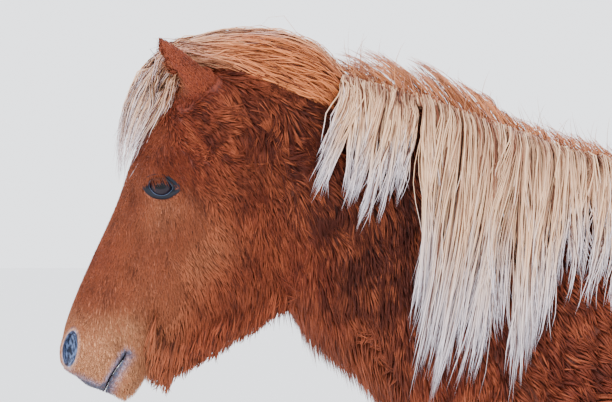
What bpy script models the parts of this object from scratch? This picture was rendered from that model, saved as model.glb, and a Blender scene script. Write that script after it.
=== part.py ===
"""A life-size standing Icelandic horse in its winter coat, parted into its named pieces.

The horse faces -X, its left side is -Y and +Z is up. Profile tables give x back from the withers
and z up from the ground, in metres, on the outside of the coat. WITHERS_X moves them to the row
frame, whose origin lies on the ground below the middle of the horse.
"""

import math
import random
from dataclasses import astuple, dataclass

import bmesh
import bpy
from mathutils import Matrix, Vector
from mathutils.bvhtree import BVHTree

# Driving dimensions
WITHERS_X = -0.116
POLL = (-0.667, 1.566)
HEAD_LEAN = math.radians(24.7)

SIDES = {-1: "left", 1: "right"}

# Making: the gap between pieces, the size of the flesh's grid and how it is smoothed and thinned
GAP = 0.0003
TINY = 0.00001
SEED = 11
VOXEL = 0.007
SMOOTH_FACTOR = 0.6
SMOOTH_ROUNDS = 60
SPARED = 0.70
# The share of the flesh's triangles that stays on the head and on the rest
HEAD_SHARE = 0.036
BODY_SHARE = 0.0118
# Where the smoothing begins to spare the head and the feet, and over what distance
HEAD_FROM = (-0.60, 0.08)
FOOT_FROM = (0.70, 0.20)

TORSO = [
    # x, top, bottom, half width, widest share, top roundness, bottom roundness
    (-0.402, 1.020, 0.900, 0.050, 0.50, 2.0, 2.0),
    (-0.380, 1.110, 0.830, 0.118, 0.50, 2.0, 2.0),
    (-0.330, 1.200, 0.770, 0.172, 0.52, 2.0, 2.1),
    (-0.220, 1.300, 0.728, 0.208, 0.58, 1.8, 2.2),
    (-0.100, 1.358, 0.710, 0.230, 0.60, 1.7, 2.2),
    (0.000, 1.380, 0.700, 0.246, 0.62, 1.65, 2.2),
    (0.120, 1.362, 0.690, 0.268, 0.60, 1.80, 2.2),
    (0.280, 1.325, 0.685, 0.288, 0.58, 2.0, 2.2),
    (0.420, 1.310, 0.690, 0.293, 0.56, 2.1, 2.2),
    (0.560, 1.325, 0.715, 0.282, 0.54, 2.1, 2.1),
    (0.700, 1.348, 0.762, 0.262, 0.50, 2.1, 2.1),
    (0.820, 1.340, 0.805, 0.244, 0.45, 2.1, 2.0),
    (0.920, 1.300, 0.840, 0.218, 0.45, 2.0, 2.0),
    (0.990, 1.240, 0.880, 0.165, 0.45, 2.0, 2.0),
    (1.030, 1.165, 0.940, 0.090, 0.50, 2.0, 2.0),
]
# Roundness of the crest and of the underline
NECK_ROUND = (1.75, 2.15)
NECK = [
    # crest x and z, underline x and z, half width, widest share
    (-0.690, 1.512, -0.640, 1.250, 0.050, 0.50),
    (-0.610, 1.556, -0.598, 1.160, 0.084, 0.52),
    (-0.518, 1.538, -0.556, 1.120, 0.092, 0.58),
    (-0.400, 1.504, -0.503, 1.076, 0.101, 0.62),
    (-0.285, 1.462, -0.460, 1.026, 0.120, 0.62),
    (-0.167, 1.420, -0.424, 0.972, 0.145, 0.62),
    (-0.050, 1.388, -0.372, 0.905, 0.172, 0.60),
    (0.060, 1.358, -0.280, 0.845, 0.190, 0.60),
]
HEAD = [
    # u, front v, back v, half width, widest share, front roundness, back roundness
    (-0.015, 0.000, 0.190, 0.055, 0.45, 2.2, 2.0),
    (0.030, -0.052, 0.214, 0.078, 0.40, 2.4, 2.0),
    (0.080, -0.083, 0.222, 0.086, 0.38, 2.6, 2.0),
    (0.130, -0.098, 0.222, 0.090, 0.37, 2.8, 2.0),
    (0.180, -0.104, 0.218, 0.091, 0.36, 2.8, 2.0),
    (0.232, -0.101, 0.220, 0.088, 0.36, 2.8, 2.0),
    (0.290, -0.096, 0.212, 0.079, 0.38, 2.6, 2.0),
    (0.350, -0.096, 0.182, 0.068, 0.40, 2.5, 2.0),
    (0.410, -0.096, 0.136, 0.058, 0.42, 2.4, 2.0),
    (0.460, -0.094, 0.094, 0.052, 0.42, 2.3, 2.1),
    (0.500, -0.089, 0.066, 0.049, 0.42, 2.2, 2.1),
    (0.528, -0.077, 0.058, 0.047, 0.42, 2.1, 2.1),
    (0.547, -0.058, 0.047, 0.039, 0.45, 2.0, 2.0),
    (0.558, -0.033, 0.030, 0.025, 0.50, 2.0, 2.0),
]
FORELEG = [
    # front x and z, back x and z, half width, distance from the middle
    (-0.330, 1.050, -0.020, 1.020, 0.060, 0.165),
    (-0.275, 0.920, 0.005, 0.900, 0.072, 0.172),
    (-0.225, 0.820, 0.005, 0.810, 0.070, 0.168),
    (-0.200, 0.730, -0.025, 0.730, 0.060, 0.160),
    (-0.184, 0.630, -0.052, 0.630, 0.052, 0.154),
    (-0.172, 0.530, -0.068, 0.530, 0.046, 0.149),
    (-0.173, 0.450, -0.066, 0.450, 0.050, 0.146),
    (-0.173, 0.405, -0.063, 0.405, 0.050, 0.145),
    (-0.160, 0.360, -0.070, 0.360, 0.042, 0.144),
    (-0.152, 0.310, -0.074, 0.310, 0.036, 0.143),
    (-0.150, 0.240, -0.072, 0.240, 0.034, 0.142),
    (-0.155, 0.190, -0.064, 0.185, 0.039, 0.142),
    (-0.164, 0.160, -0.062, 0.148, 0.043, 0.142),
    (-0.180, 0.127, -0.088, 0.102, 0.040, 0.142),
    (-0.200, 0.092, -0.108, 0.058, 0.049, 0.142),
    (-0.212, 0.062, -0.118, 0.032, 0.050, 0.142),
]
HIND_LEG = [
    (0.660, 1.160, 0.980, 1.180, 0.095, 0.125),
    (0.630, 1.020, 1.020, 1.060, 0.112, 0.148),
    (0.622, 0.910, 0.995, 0.950, 0.108, 0.158),
    (0.642, 0.815, 0.960, 0.870, 0.094, 0.162),
    (0.695, 0.710, 0.948, 0.790, 0.076, 0.160),
    (0.768, 0.620, 0.970, 0.700, 0.060, 0.156),
    (0.840, 0.545, 1.008, 0.625, 0.049, 0.152),
    (0.888, 0.488, 1.042, 0.570, 0.049, 0.150),
    (0.908, 0.430, 1.030, 0.480, 0.047, 0.150),
    (0.918, 0.370, 1.015, 0.400, 0.040, 0.149),
    (0.925, 0.300, 1.005, 0.320, 0.036, 0.148),
    (0.925, 0.230, 1.002, 0.245, 0.035, 0.147),
    (0.918, 0.185, 1.006, 0.187, 0.040, 0.147),
    (0.908, 0.160, 1.008, 0.150, 0.044, 0.147),
    (0.888, 0.127, 0.980, 0.102, 0.040, 0.147),
    (0.866, 0.092, 0.958, 0.058, 0.049, 0.147),
    (0.852, 0.062, 0.946, 0.032, 0.050, 0.147),
]
# How far each foot stands back of a square stance, and the height where that begins
STANCE = {
    ("fore", -1): -0.030,
    ("fore", 1): 0.035,
    ("hind", -1): 0.050,
    ("hind", 1): -0.045,
}
STANCE_TOP = 0.95
# How much thicker the legs are below the elbow than the tables say, for the winter coat, and the
# height where that begins with the length over which it grows
STOUT = 1.07
STOUT_FROM = (0.80, 0.20)
# Half the distance between the feet of a pair
FOOT_APART = {"fore": 0.142, "hind": 0.147}

# The swellings of muscle and bone: name, x, y, z, half sizes and the turn about Y in degrees
MUSCLES = [
    ("upper_arm", -0.165, 0.150, 0.945, (0.140, 0.075, 0.130), 20),
    ("breast", -0.325, 0.080, 0.960, (0.090, 0.085, 0.140), 0),
    ("haunch", 0.820, 0.120, 1.080, (0.190, 0.128, 0.190), 10),
    ("stifle", 0.690, 0.165, 0.885, (0.080, 0.072, 0.115), -20),
]
CROWN = ("crown", -0.640, 0.0, 1.562, (0.085, 0.046, 0.030), 4)
# On the skull: name, u, v, y, half sizes across the profile, sideways and down the face, and turn
SKULL = [
    ("brow", 0.205, -0.058, 0.066, (0.028, 0.030, 0.056), 6),
    ("cheek", 0.262, 0.070, 0.040, (0.110, 0.046, 0.120), 0),
    ("face_crest", 0.330, -0.010, 0.050, (0.020, 0.022, 0.100), 8),
    ("nostril_swell", 0.506, -0.052, 0.030, (0.034, 0.024, 0.050), 0),
    ("upper_lip", 0.530, -0.016, 0.020, (0.026, 0.028, 0.032), 0),
    ("lower_lip", 0.528, 0.034, 0.010, (0.022, 0.030, 0.032), 0),
    ("ear_root", 0.082, -0.022, 0.046, (0.056, 0.038, 0.054), 0),
]

# The cuts between the nodes, each by its upper and lower point on the profile
JAW_CUT = ((-0.640, 1.570), (-0.585, 1.180))
SHOULDER_CUT = ((0.000, 1.380), (-0.420, 0.980))
# The space of a leg: x from and to, and the height of its sloping top at two distances out
LEG_SPACE = {
    "fore": (-0.335, 0.020, (0.07, 0.700), (0.24, 0.880)),
    "hind": (0.600, 1.220, (0.02, 0.760), (0.26, 1.030)),
}
KNEE_CUT = 0.400
HOCK_CUT = 0.470
LEG_INNER = 0.003
LEG_OUTER = 0.50

# Front and back of the coronet, then the toe and heel on the ground and half the hoof's width
HOOF_TOP = {
    "fore": ((-0.198, 0.088), (-0.108, 0.052)),
    "hind": ((0.864, 0.090), (0.955, 0.055)),
}
HOOF_SOLE = {"fore": (-0.234, -0.104, 0.061), "hind": (0.832, 0.958, 0.058)}
HOOF_SIDES = 18
HOOF_LEVELS = (0.0, 0.12, 0.90, 1.0)
CORONET_HALF = 0.046
CORONET_SHARE = 0.97
HEEL_PINCH = 0.12
SOLE_BEVEL = 0.955
SOLE_EDGE = 0.004

# The eye: down the face and across the profile, then how deep its middle lies under the skin
EYE = (0.232, -0.041, 0.0155)
EYE_RADIUS = 0.0205
EYE_SIDES = (16, 8)
EYE_TURN = -24.0
LID = (0.0310, 0.0120, 0.0215)
LID_LIFT = 0.0100
LID_SIDES = (14, 8)
OPENING = (0.0170, 0.0130)
OPENING_DEPTHS = (0.002, 0.050)

# A nostril: the place of its rim and of its hole as u, v, y and turn, and their half sizes
NOSTRIL_RIM = (0.516, -0.058, 0.040, -12.0)
NOSTRIL_RIM_SIZE = (0.019, 0.015, 0.031)
NOSTRIL_HOLE = (0.517, -0.064, 0.049, -16.0)
NOSTRIL_HOLE_SIZE = (0.0115, 0.0175, 0.0235)
NOSTRIL_SIDES = (10, 6)

# The line of the mouth, as u and v from the front of the muzzle to the corner
MOUTH_LINE = [(0.580, 0.005), (0.540, 0.008), (0.510, 0.012), (0.482, 0.016)]
MOUTH_HALF = 0.08
MOUTH_GAP = 0.0022

EAR_ROOT = (0.098, -0.016, 0.052)
EAR_TIP = (0.026, -0.139, 0.076)
EAR_OPENING = (-0.90, 0.42, -0.10)
EAR = [
    # share of the length, half width, half depth, how far the cup lies forward, its share
    (0.00, 0.022, 0.024, 0.000, 0.00),
    (0.14, 0.025, 0.028, 0.003, 0.45),
    (0.32, 0.028, 0.031, 0.005, 0.74),
    (0.52, 0.027, 0.028, 0.006, 0.80),
    (0.72, 0.021, 0.021, 0.005, 0.78),
    (0.88, 0.012, 0.013, 0.003, 0.66),
    (0.97, 0.005, 0.006, 0.001, 0.40),
]
EAR_CUP_SHIFT = 0.34
EAR_CUP_DEPTH = 1.15

# Locks of long hair: how many, how wide, how thick and how proud of the coat
MANE_LOCKS = 24
MANE_WIDTH = 0.040
MANE_THICK = 0.012
MANE_LIFT = 0.007
FAR_LOCKS = 11
FAR_WIDTH = 0.050
FAR_DROP = 0.30
CREST_TUFTS = 8
CREST_SPAN = (-0.42, -0.02)
CREST_HIGH = 0.036
TUFT_WIDTH = 0.026
FORELOCKS = 8
POLL_LOCKS = 6
CROWN_WIDTH = 0.030
CROWN_THICK = 0.013
CROWN_SPREAD = (0.016, 0.060)
BEARD_LOCKS = 9
BEARD_SIDE = 3
BEARD_WIDTH = 0.034
BEARD_THICK = 0.016
TAIL_LOCKS = 16
TAIL_WIDTH = 0.050
TAIL_THICK = 0.024
TAIL_LIFT = 0.014
FEATHER_LOCKS = 4
FEATHER_WIDTH = 0.030
FEATHER_THICK = 0.012
FEATHER_ARC = 144.0
ROOT_SUNK = 0.012
ROOM_ROUND_LOCK = 1.7 * GAP
LONG_SHAPE = (0.80, 1.00, 0.95, 0.78, 0.50)
SHORT_SHAPE = (0.80, 1.00, 0.62)

# Where a lock grows on the crest and where its tip hangs on the near side, as x, x and z
MANE = [
    (-0.522, -0.586, 1.392),
    (-0.498, -0.560, 1.324),
    (-0.466, -0.534, 1.322),
    (-0.430, -0.512, 1.305),
    (-0.400, -0.456, 1.158),
    (-0.380, -0.432, 1.110),
    (-0.341, -0.390, 1.058),
    (-0.300, -0.352, 1.042),
    (-0.260, -0.310, 1.038),
    (-0.220, -0.262, 1.044),
    (-0.175, -0.212, 1.100),
    (-0.120, -0.150, 1.120),
    (-0.060, -0.085, 1.150),
    (0.005, -0.010, 1.215),
]
# The forelock from the poll down over the brow: x and z in the middle, then x and z at its side
FORELOCK = [
    (-0.690, 1.560, -0.716, 1.552),
    (-0.745, 1.606, -0.742, 1.588),
    (-0.806, 1.582, -0.768, 1.552),
    (-0.848, 1.524, -0.784, 1.502),
    (-0.868, 1.466, -0.800, 1.452),
    (-0.876, 1.414, -0.822, 1.410),
    (-0.868, 1.358, -0.846, 1.384),
]
# The hair on the poll, back towards the mane: x and z in the middle, then x and z at its side
POLL_HAIR = [
    (-0.700, 1.566, -0.690, 1.556),
    (-0.684, 1.606, -0.668, 1.588),
    (-0.650, 1.614, -0.632, 1.588),
    (-0.608, 1.608, -0.594, 1.568),
    (-0.566, 1.592, -0.566, 1.538),
    (-0.534, 1.568, -0.548, 1.500),
    (-0.514, 1.540, -0.542, 1.462),
]
# Where the tips of the beard hang under the jaw, as x and z
BEARD = [
    (-0.826, 1.066),
    (-0.806, 1.042),
    (-0.788, 1.064),
    (-0.766, 1.074),
    (-0.748, 1.088),
    (-0.728, 1.098),
    (-0.710, 1.114),
    (-0.692, 1.124),
    (-0.672, 1.138),
    (-0.652, 1.148),
    (-0.634, 1.160),
    (-0.612, 1.170),
]
# The dock of the tail and the middle of its hair: x, z, then the spread along X and Y
DOCK = [
    (0.955, 1.212, 0.026),
    (1.010, 1.200, 0.032),
    (1.054, 1.160, 0.032),
    (1.084, 1.100, 0.030),
    (1.102, 1.020, 0.026),
    (1.112, 0.920, 0.020),
    (1.114, 0.840, 0.012),
]
TAIL_HAIR = [
    (1.062, 1.158, 0.036, 0.040),
    (1.096, 1.050, 0.050, 0.060),
    (1.112, 0.900, 0.062, 0.078),
    (1.114, 0.700, 0.066, 0.088),
    (1.110, 0.480, 0.062, 0.084),
    (1.102, 0.290, 0.050, 0.066),
    (1.096, 0.130, 0.026, 0.032),
]
# The fetlock: where its long hair grows, as x and z, and where it hangs to
FETLOCK = {"fore": ((-0.078, 0.178), (-0.072, 0.052)), "hind": ((0.990, 0.178), (0.996, 0.054))}


@dataclass
class Section:
    """One slice of a body mass: two ends of its profile, its half width and how it is rounded."""

    ax: float
    az: float
    bx: float
    bz: float
    half: float
    y: float = 0.0
    widest: float = 0.5
    round_a: float = 2.0
    round_b: float = 2.0


def clear_scene():
    for obj in list(bpy.data.objects):
        bpy.data.objects.remove(obj, do_unlink=True)


def collection(name):
    made = bpy.data.collections.new(name)
    bpy.context.scene.collection.children.link(made)
    return made


def new_object(name, mesh, into=None):
    obj = bpy.data.objects.new(name, mesh)
    (into or bpy.context.scene.collection).objects.link(obj)
    return obj


def head_point(u, v, y=0.0):
    """A point u down the face from the poll and v back from the head's axis towards the throat."""
    down = Vector((-math.sin(HEAD_LEAN), 0, -math.cos(HEAD_LEAN)))
    back = Vector((math.cos(HEAD_LEAN), 0, -math.sin(HEAD_LEAN)))
    return Vector((POLL[0], y, POLL[1])) + down * u + back * v


def smooth_between(rows, steps):
    """Catmull-Rom values through the rows, with steps to each interval."""
    ends = [rows[0]] + list(rows) + [rows[-1]]
    out = []
    for i in range(1, len(ends) - 2):
        p0, p1, p2, p3 = ends[i - 1 : i + 3]
        for k in range(steps):
            t = k / steps
            out.append(
                [
                    0.5
                    * (
                        2 * b
                        + (c - a) * t
                        + (2 * a - 5 * b + 4 * c - d) * t * t
                        + (3 * b - a - 3 * c + d) * t**3
                    )
                    for a, b, c, d in zip(p0, p1, p2, p3)
                ]
            )
    out.append(list(rows[-1]))
    return out


def signed_power(value, power):
    return math.copysign(abs(value) ** power, value)


def section_ring(section, sides):
    a = Vector((section.ax, 0, section.az))
    b = Vector((section.bx, 0, section.bz))
    ring = []
    for k in range(sides):
        angle = 2 * math.pi * k / sides
        c, s = math.cos(angle), math.sin(angle)
        power = 2 / (section.round_a if c >= 0 else section.round_b)
        reach = section.widest if c >= 0 else 1 - section.widest
        point = a.lerp(b, section.widest - reach * signed_power(c, power))
        point.y = section.y + section.half * signed_power(s, power)
        ring.append(point)
    return ring


def skinned(name, rings, into=None, end_point=None):
    """A closed mesh over rings of points, with a face on each open end or a point at the last."""
    bm = bmesh.new()
    made = [[bm.verts.new(p) for p in ring] for ring in rings]
    sides = len(made[0])
    for first, second in zip(made, made[1:]):
        for k in range(sides):
            n = (k + 1) % sides
            bm.faces.new((first[k], first[n], second[n]))
            bm.faces.new((first[k], second[n], second[k]))
    bm.faces.new(reversed(made[0]))
    if end_point is None:
        bm.faces.new(made[-1])
    else:
        tip = bm.verts.new(end_point)
        for k in range(sides):
            bm.faces.new((made[-1][k], made[-1][(k + 1) % sides], tip))
    bmesh.ops.recalc_face_normals(bm, faces=bm.faces)
    mesh = bpy.data.meshes.new(name)
    bm.to_mesh(mesh)
    bm.free()
    return new_object(name, mesh, into)


def mass(name, sections, into, sides=32, steps=4):
    rows = smooth_between([astuple(s) for s in sections], steps)
    rings = [section_ring(Section(*row), sides) for row in rows]
    for ring in rings:
        for point in ring:
            point.x += WITHERS_X
    return skinned(name, rings, into)


def muscle(name, centre, radii, into, turn=0.0):
    """An ellipsoid that swells the body, turned about Y by turn degrees."""
    mesh = bpy.data.meshes.new(name)
    bm = bmesh.new()
    bmesh.ops.create_uvsphere(bm, u_segments=24, v_segments=16, radius=1.0)
    place = Matrix.Translation(centre + Vector((WITHERS_X, 0, 0)))
    place = place @ Matrix.Rotation(math.radians(turn), 4, "Y")
    place = place @ Matrix.Diagonal((*radii, 1.0))
    bm.transform(place)
    bm.to_mesh(mesh)
    bm.free()
    return new_object(name, mesh, into)


def stance_shift(which, side, z):
    return STANCE[which, side] * max(0.0, 1 - z / STANCE_TOP)


def trunk_sections():
    return [Section(x, top, x, low, half, 0.0, w, ra, rb) for x, top, low, half, w, ra, rb in TORSO]


def neck_sections():
    return [Section(cx, cz, ux, uz, half, 0.0, w, *NECK_ROUND) for cx, cz, ux, uz, half, w in NECK]


def head_sections():
    out = []
    for u, front, back, half, widest, ra, rb in HEAD:
        a, b = head_point(u, front), head_point(u, back)
        out.append(Section(a.x, a.z, b.x, b.z, half, 0.0, widest, ra, rb))
    return out


def leg_sections(which, side):
    table = FORELEG if which == "fore" else HIND_LEG
    out = []
    for fx, fz, bx, bz, half, y in table:
        low = min(1.0, max(0.0, (STOUT_FROM[0] - fz) / STOUT_FROM[1]))
        stout = 1.0 + (STOUT - 1.0) * low
        middle = (fx + bx) / 2
        front = middle + (fx - middle) * stout
        back = middle + (bx - middle) * stout
        out.append(
            Section(
                front + stance_shift(which, side, fz),
                fz,
                back + stance_shift(which, side, bz),
                bz,
                half * stout,
                side * y,
            )
        )
    return out


def body_masses(into):
    mass("trunk", trunk_sections(), into)
    mass("neck_mass", neck_sections(), into)
    mass("head_mass", head_sections(), into, steps=6)
    for side in (-1, 1):
        for which in ("fore", "hind"):
            mass(f"{which}_leg_{side}", leg_sections(which, side), into, sides=24)
        swellings(side, into)


def swellings(side, into):
    """The muscles and bones of one side that stand out of the plain masses."""
    for name, x, y, z, radii, turn in MUSCLES + [CROWN] * (side > 0):
        muscle(f"{name}_{side}", Vector((x, side * y, z)), radii, into, turn)
    lean = math.degrees(HEAD_LEAN)
    for name, u, v, y, radii, turn in SKULL:
        muscle(f"{name}_{side}", head_point(u, v, side * y), radii, into, lean + turn)


def applied(obj, name):
    """A new object with obj's modifiers applied."""
    graph = bpy.context.evaluated_depsgraph_get()
    mesh = bpy.data.meshes.new_from_object(obj.evaluated_get(graph))
    mesh.name = name
    return new_object(name, mesh)


def joined(objects, name):
    bm = bmesh.new()
    for obj in objects:
        bm.from_mesh(obj.data)
    mesh = bpy.data.meshes.new(name)
    bm.to_mesh(mesh)
    bm.free()
    for obj in objects:
        bpy.data.objects.remove(obj, do_unlink=True)
    return new_object(name, mesh)


def keep_detail(point):
    """How much the smoothing spares a point: 1 on the head and feet and 0 on the trunk."""
    x = point.x - WITHERS_X
    head = min(1.0, max(0.0, (HEAD_FROM[0] - x) / HEAD_FROM[1]))
    foot = min(1.0, max(0.0, (FOOT_FROM[0] - point.z) / FOOT_FROM[1]))
    return max(head, foot)


def weigh(obj, name, rule):
    group = obj.vertex_groups.new(name=name)
    for vertex in obj.data.vertices:
        group.add([vertex.index], rule(vertex.co), "REPLACE")


def make_flesh():
    masses = collection("masses")
    body_masses(masses)
    rough = joined(list(masses.objects), "rough")
    bpy.data.collections.remove(masses)
    remesh = rough.modifiers.new("one_skin", "REMESH")
    remesh.mode = "VOXEL"
    remesh.voxel_size = VOXEL
    remesh.adaptivity = 0.0
    fine = applied(rough, "fine")
    bpy.data.objects.remove(rough, do_unlink=True)
    weigh(fine, "soft", lambda p: 1.0 - SPARED * keep_detail(p))
    relax = fine.modifiers.new("relax", "SMOOTH")
    relax.factor = SMOOTH_FACTOR
    relax.iterations = SMOOTH_ROUNDS
    relax.vertex_group = "soft"
    smooth = applied(fine, "smooth")
    bpy.data.objects.remove(fine, do_unlink=True)
    return smooth


def open_edges(bm):
    return [edge for edge in bm.edges if edge.is_boundary]


def halved(obj, name, at, normal):
    """A copy of the part of obj on the side that normal points to, with the cut filled."""
    bm = bmesh.new()
    bm.from_mesh(obj.data)
    everything = list(bm.verts) + list(bm.edges) + list(bm.faces)
    bmesh.ops.bisect_plane(
        bm, geom=everything, dist=1e-6, plane_co=at, plane_no=normal, clear_inner=True
    )
    bmesh.ops.triangle_fill(bm, edges=open_edges(bm), use_beauty=True)
    bmesh.ops.recalc_face_normals(bm, faces=bm.faces)
    bmesh.ops.triangulate(bm, faces=bm.faces)
    mesh = bpy.data.meshes.new(name)
    bm.to_mesh(mesh)
    bm.free()
    return new_object(name, mesh)


def parted(obj, at, normal, front_name, back_name):
    """The two parts of obj on either side of a plane, with a thin gap between them."""
    front = halved(obj, front_name, at + normal * (GAP / 2), normal)
    back = halved(obj, back_name, at - normal * (GAP / 2), -normal)
    bpy.data.objects.remove(obj, do_unlink=True)
    return front, back


def profile_plane(upper, lower):
    """A point and the forward normal of the upright plane through two points of the profile."""
    a = Vector((upper[0] + WITHERS_X, 0, upper[1]))
    b = Vector((lower[0] + WITHERS_X, 0, lower[1]))
    normal = Vector((0, 1, 0)).cross(b - a).normalized()
    return a, normal


def combined(obj, operation, other=None, others=None, solver="EXACT"):
    """obj after one Boolean with an object or with a collection, which are then removed."""
    name = obj.name
    cut = obj.modifiers.new("cut", "BOOLEAN")
    cut.operation = operation
    cut.solver = solver
    if others:
        cut.operand_type = "COLLECTION"
        cut.collection = others
        spent = list(others.objects)
    else:
        cut.object = other
        spent = [other]
    made = applied(obj, name)
    bpy.data.objects.remove(obj, do_unlink=True)
    for used in spent:
        bpy.data.objects.remove(used, do_unlink=True)
    made.name = name
    return made


def to_triangles(bm):
    """Turns every face into triangles, without the needle-thin ones and idle points on edges."""
    idle = [v for v in bm.verts if len(v.link_edges) == 2]
    bmesh.ops.dissolve_verts(bm, verts=idle)
    bmesh.ops.triangulate(bm, faces=bm.faces)
    bmesh.ops.dissolve_degenerate(bm, dist=TINY, edges=bm.edges)
    bmesh.ops.triangulate(bm, faces=bm.faces)


def cleaned(obj):
    bm = bmesh.new()
    bm.from_mesh(obj.data)
    to_triangles(bm)
    bm.to_mesh(obj.data)
    bm.free()
    return obj


def fitted(obj, operation, other):
    """combined for the close fits round the eyes and lips, where surfaces nearly coincide."""
    return cleaned(combined(obj, operation, other, solver="MANIFOLD"))


def largest_shell(obj):
    """Keeps only the largest closed surface of obj."""
    bm = bmesh.new()
    bm.from_mesh(obj.data)
    seen, shells = set(), []
    for first in bm.faces:
        if first in seen:
            continue
        seen.add(first)
        shell, queue = [first], [first]
        while queue:
            for edge in queue.pop().edges:
                for face in edge.link_faces:
                    if face not in seen:
                        seen.add(face)
                        shell.append(face)
                        queue.append(face)
        shells.append(shell)
    shells.sort(key=len)
    for shell in shells[:-1]:
        bmesh.ops.delete(bm, geom=shell, context="FACES")
    bmesh.ops.delete(bm, geom=[v for v in bm.verts if not v.link_faces], context="VERTS")
    to_triangles(bm)
    bm.to_mesh(obj.data)
    bm.free()


def prism(name, outline, x0, x1):
    """A solid from an outline of (y, z) points, drawn out along X."""
    bm = bmesh.new()
    near = [bm.verts.new((x0, y, z)) for y, z in outline]
    far = [bm.verts.new((x1, y, z)) for y, z in outline]
    bm.faces.new(near)
    bm.faces.new(reversed(far))
    for k in range(len(outline)):
        n = (k + 1) % len(outline)
        bm.faces.new((near[k], far[k], far[n], near[n]))
    bmesh.ops.recalc_face_normals(bm, faces=bm.faces)
    mesh = bpy.data.meshes.new(name)
    bm.to_mesh(mesh)
    bm.free()
    return new_object(name, mesh)


def leg_space(which, side, inset):
    x0, x1, (y_in, z_in), (y_out, z_out) = LEG_SPACE[which]
    slope = (z_out - z_in) / (y_out - y_in)
    drop = inset * math.hypot(1.0, slope)
    near, far = LEG_INNER, LEG_OUTER
    top = [z_in + slope * (y - y_in) - drop for y in (near, far)]
    below = -0.2
    outline = [(side * near, below), (side * far, below), (side * far, top[1]), (side * near, top[0])]
    return prism("space", outline, x0 + WITHERS_X + inset, x1 + WITHERS_X - inset)


def copied(obj, name):
    return new_object(name, obj.data.copy())


def coronet_plane(which, side):
    front, back = HOOF_TOP[which]
    lean = [(p[0] + stance_shift(which, side, p[1]), p[1]) for p in (front, back)]
    at, normal = profile_plane(lean[0], lean[1])
    return at, (normal if normal.z > 0 else -normal)


def make_hoof(which, side):
    """A hoof: a wall that widens from the coronet to a flat sole."""
    (fx, fz), (bx, bz) = HOOF_TOP[which]
    fx += stance_shift(which, side, fz)
    bx += stance_shift(which, side, bz)
    toe, heel, half = HOOF_SOLE[which]
    shift = stance_shift(which, side, 0.0)
    middle = side * FOOT_APART[which]
    rings = []
    for t in HOOF_LEVELS:
        ring = []
        flare = 1.0 if t > 0.95 else t
        for k in range(HOOF_SIDES):
            angle = 2 * math.pi * k / HOOF_SIDES
            c, s = math.cos(angle), math.sin(angle)
            top_x = (fx + bx) / 2 - c * (bx - fx) / 2 * CORONET_SHARE
            top_z = (fz + bz) / 2 + c * (fz - bz) / 2 * CORONET_SHARE - 1.5 * GAP
            low_x = (toe + heel) / 2 + shift - c * (heel - toe) / 2
            pinch = 1.0 - HEEL_PINCH * max(0.0, -c)
            y = s * (CORONET_HALF + (half - CORONET_HALF) * flare) * pinch
            x = top_x + (low_x - top_x) * flare
            ring.append(Vector((x + WITHERS_X, middle + y, top_z * (1 - t))))
        rings.append(ring)
    centre = sum(rings[-1], Vector()) / HOOF_SIDES
    rings[-1] = [centre + (p - centre) * SOLE_BEVEL for p in rings[-1]]
    for point in rings[-1]:
        point.z = 0.0
    for point in rings[-2]:
        point.z = max(point.z, SOLE_EDGE)
    return skinned(f"{SIDES[side]}_{which}_hoof", rings)


def ball(name, centre, radius, sides=EYE_SIDES):
    mesh = bpy.data.meshes.new(name)
    bm = bmesh.new()
    bmesh.ops.create_uvsphere(bm, u_segments=sides[0], v_segments=sides[1], radius=radius)
    turn = Matrix.Rotation(math.pi / 2, 4, "X")
    bm.transform(Matrix.Translation(centre) @ turn)
    bm.to_mesh(mesh)
    bm.free()
    return new_object(name, mesh)


def head_frame(u, v, y, turn=0.0):
    """Axes at a point of the head: back across the profile, sideways, and up the face."""
    place = Matrix.Translation(head_point(u, v, y) + Vector((WITHERS_X, 0, 0)))
    return place @ Matrix.Rotation(HEAD_LEAN + math.radians(turn), 4, "Y")


def almond(name, place, long_half, high_half, depth_in, depth_out, side, sides=16):
    """An almond-shaped plug along Y whose long axis lies along the frame's X."""
    rings = []
    for y, grow in ((depth_in, 0.85), (depth_out, 1.15)):
        ring = []
        for k in range(sides):
            angle = 2 * math.pi * k / sides
            c, s = math.cos(angle), math.sin(angle)
            x = long_half * grow * c
            z = high_half * grow * s * (1.0 - 0.28 * abs(c) ** 3)
            ring.append(place @ Vector((x, side * y, z)))
        rings.append(ring)
    return skinned(name, rings)


def eye_place(tree, side):
    """The frame in the middle of an eyeball, whose depth follows the skin."""
    start = head_point(EYE[0], EYE[1], side * 0.4) + Vector((WITHERS_X, 0, 0))
    skin = tree.ray_cast(start, Vector((0, -side, 0)))[0]
    return head_frame(EYE[0], EYE[1], skin.y - side * EYE[2], EYE_TURN)


def add_eye(head, tree, side):
    """The lids round one eye, the socket behind them and the eyeball in it."""
    place = eye_place(tree, side)
    lift = Matrix.Translation((0, side * LID_LIFT, 0))
    head = fitted(head, "UNION", scaled_ball("lid", place @ lift, LID, LID_SIDES))
    slit = almond("slit", place, *OPENING, *OPENING_DEPTHS, side, 12)
    head = fitted(head, "DIFFERENCE", slit)
    centre = place.translation.copy()
    head = fitted(head, "DIFFERENCE", ball("socket", centre, EYE_RADIUS + GAP))
    eye = ball(f"{SIDES[side]}_eye", centre, EYE_RADIUS)
    return head, eye


def swapped(old, new):
    name = old.name
    bpy.data.objects.remove(old, do_unlink=True)
    new.name = name
    return new


def scaled_ball(name, place, radii, sides=(16, 10)):
    mesh = bpy.data.meshes.new(name)
    bm = bmesh.new()
    bmesh.ops.create_uvsphere(bm, u_segments=sides[0], v_segments=sides[1], radius=1.0)
    bm.transform(place @ Matrix.Diagonal((*radii, 1.0)))
    bm.to_mesh(mesh)
    bm.free()
    return new_object(name, mesh)


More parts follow.
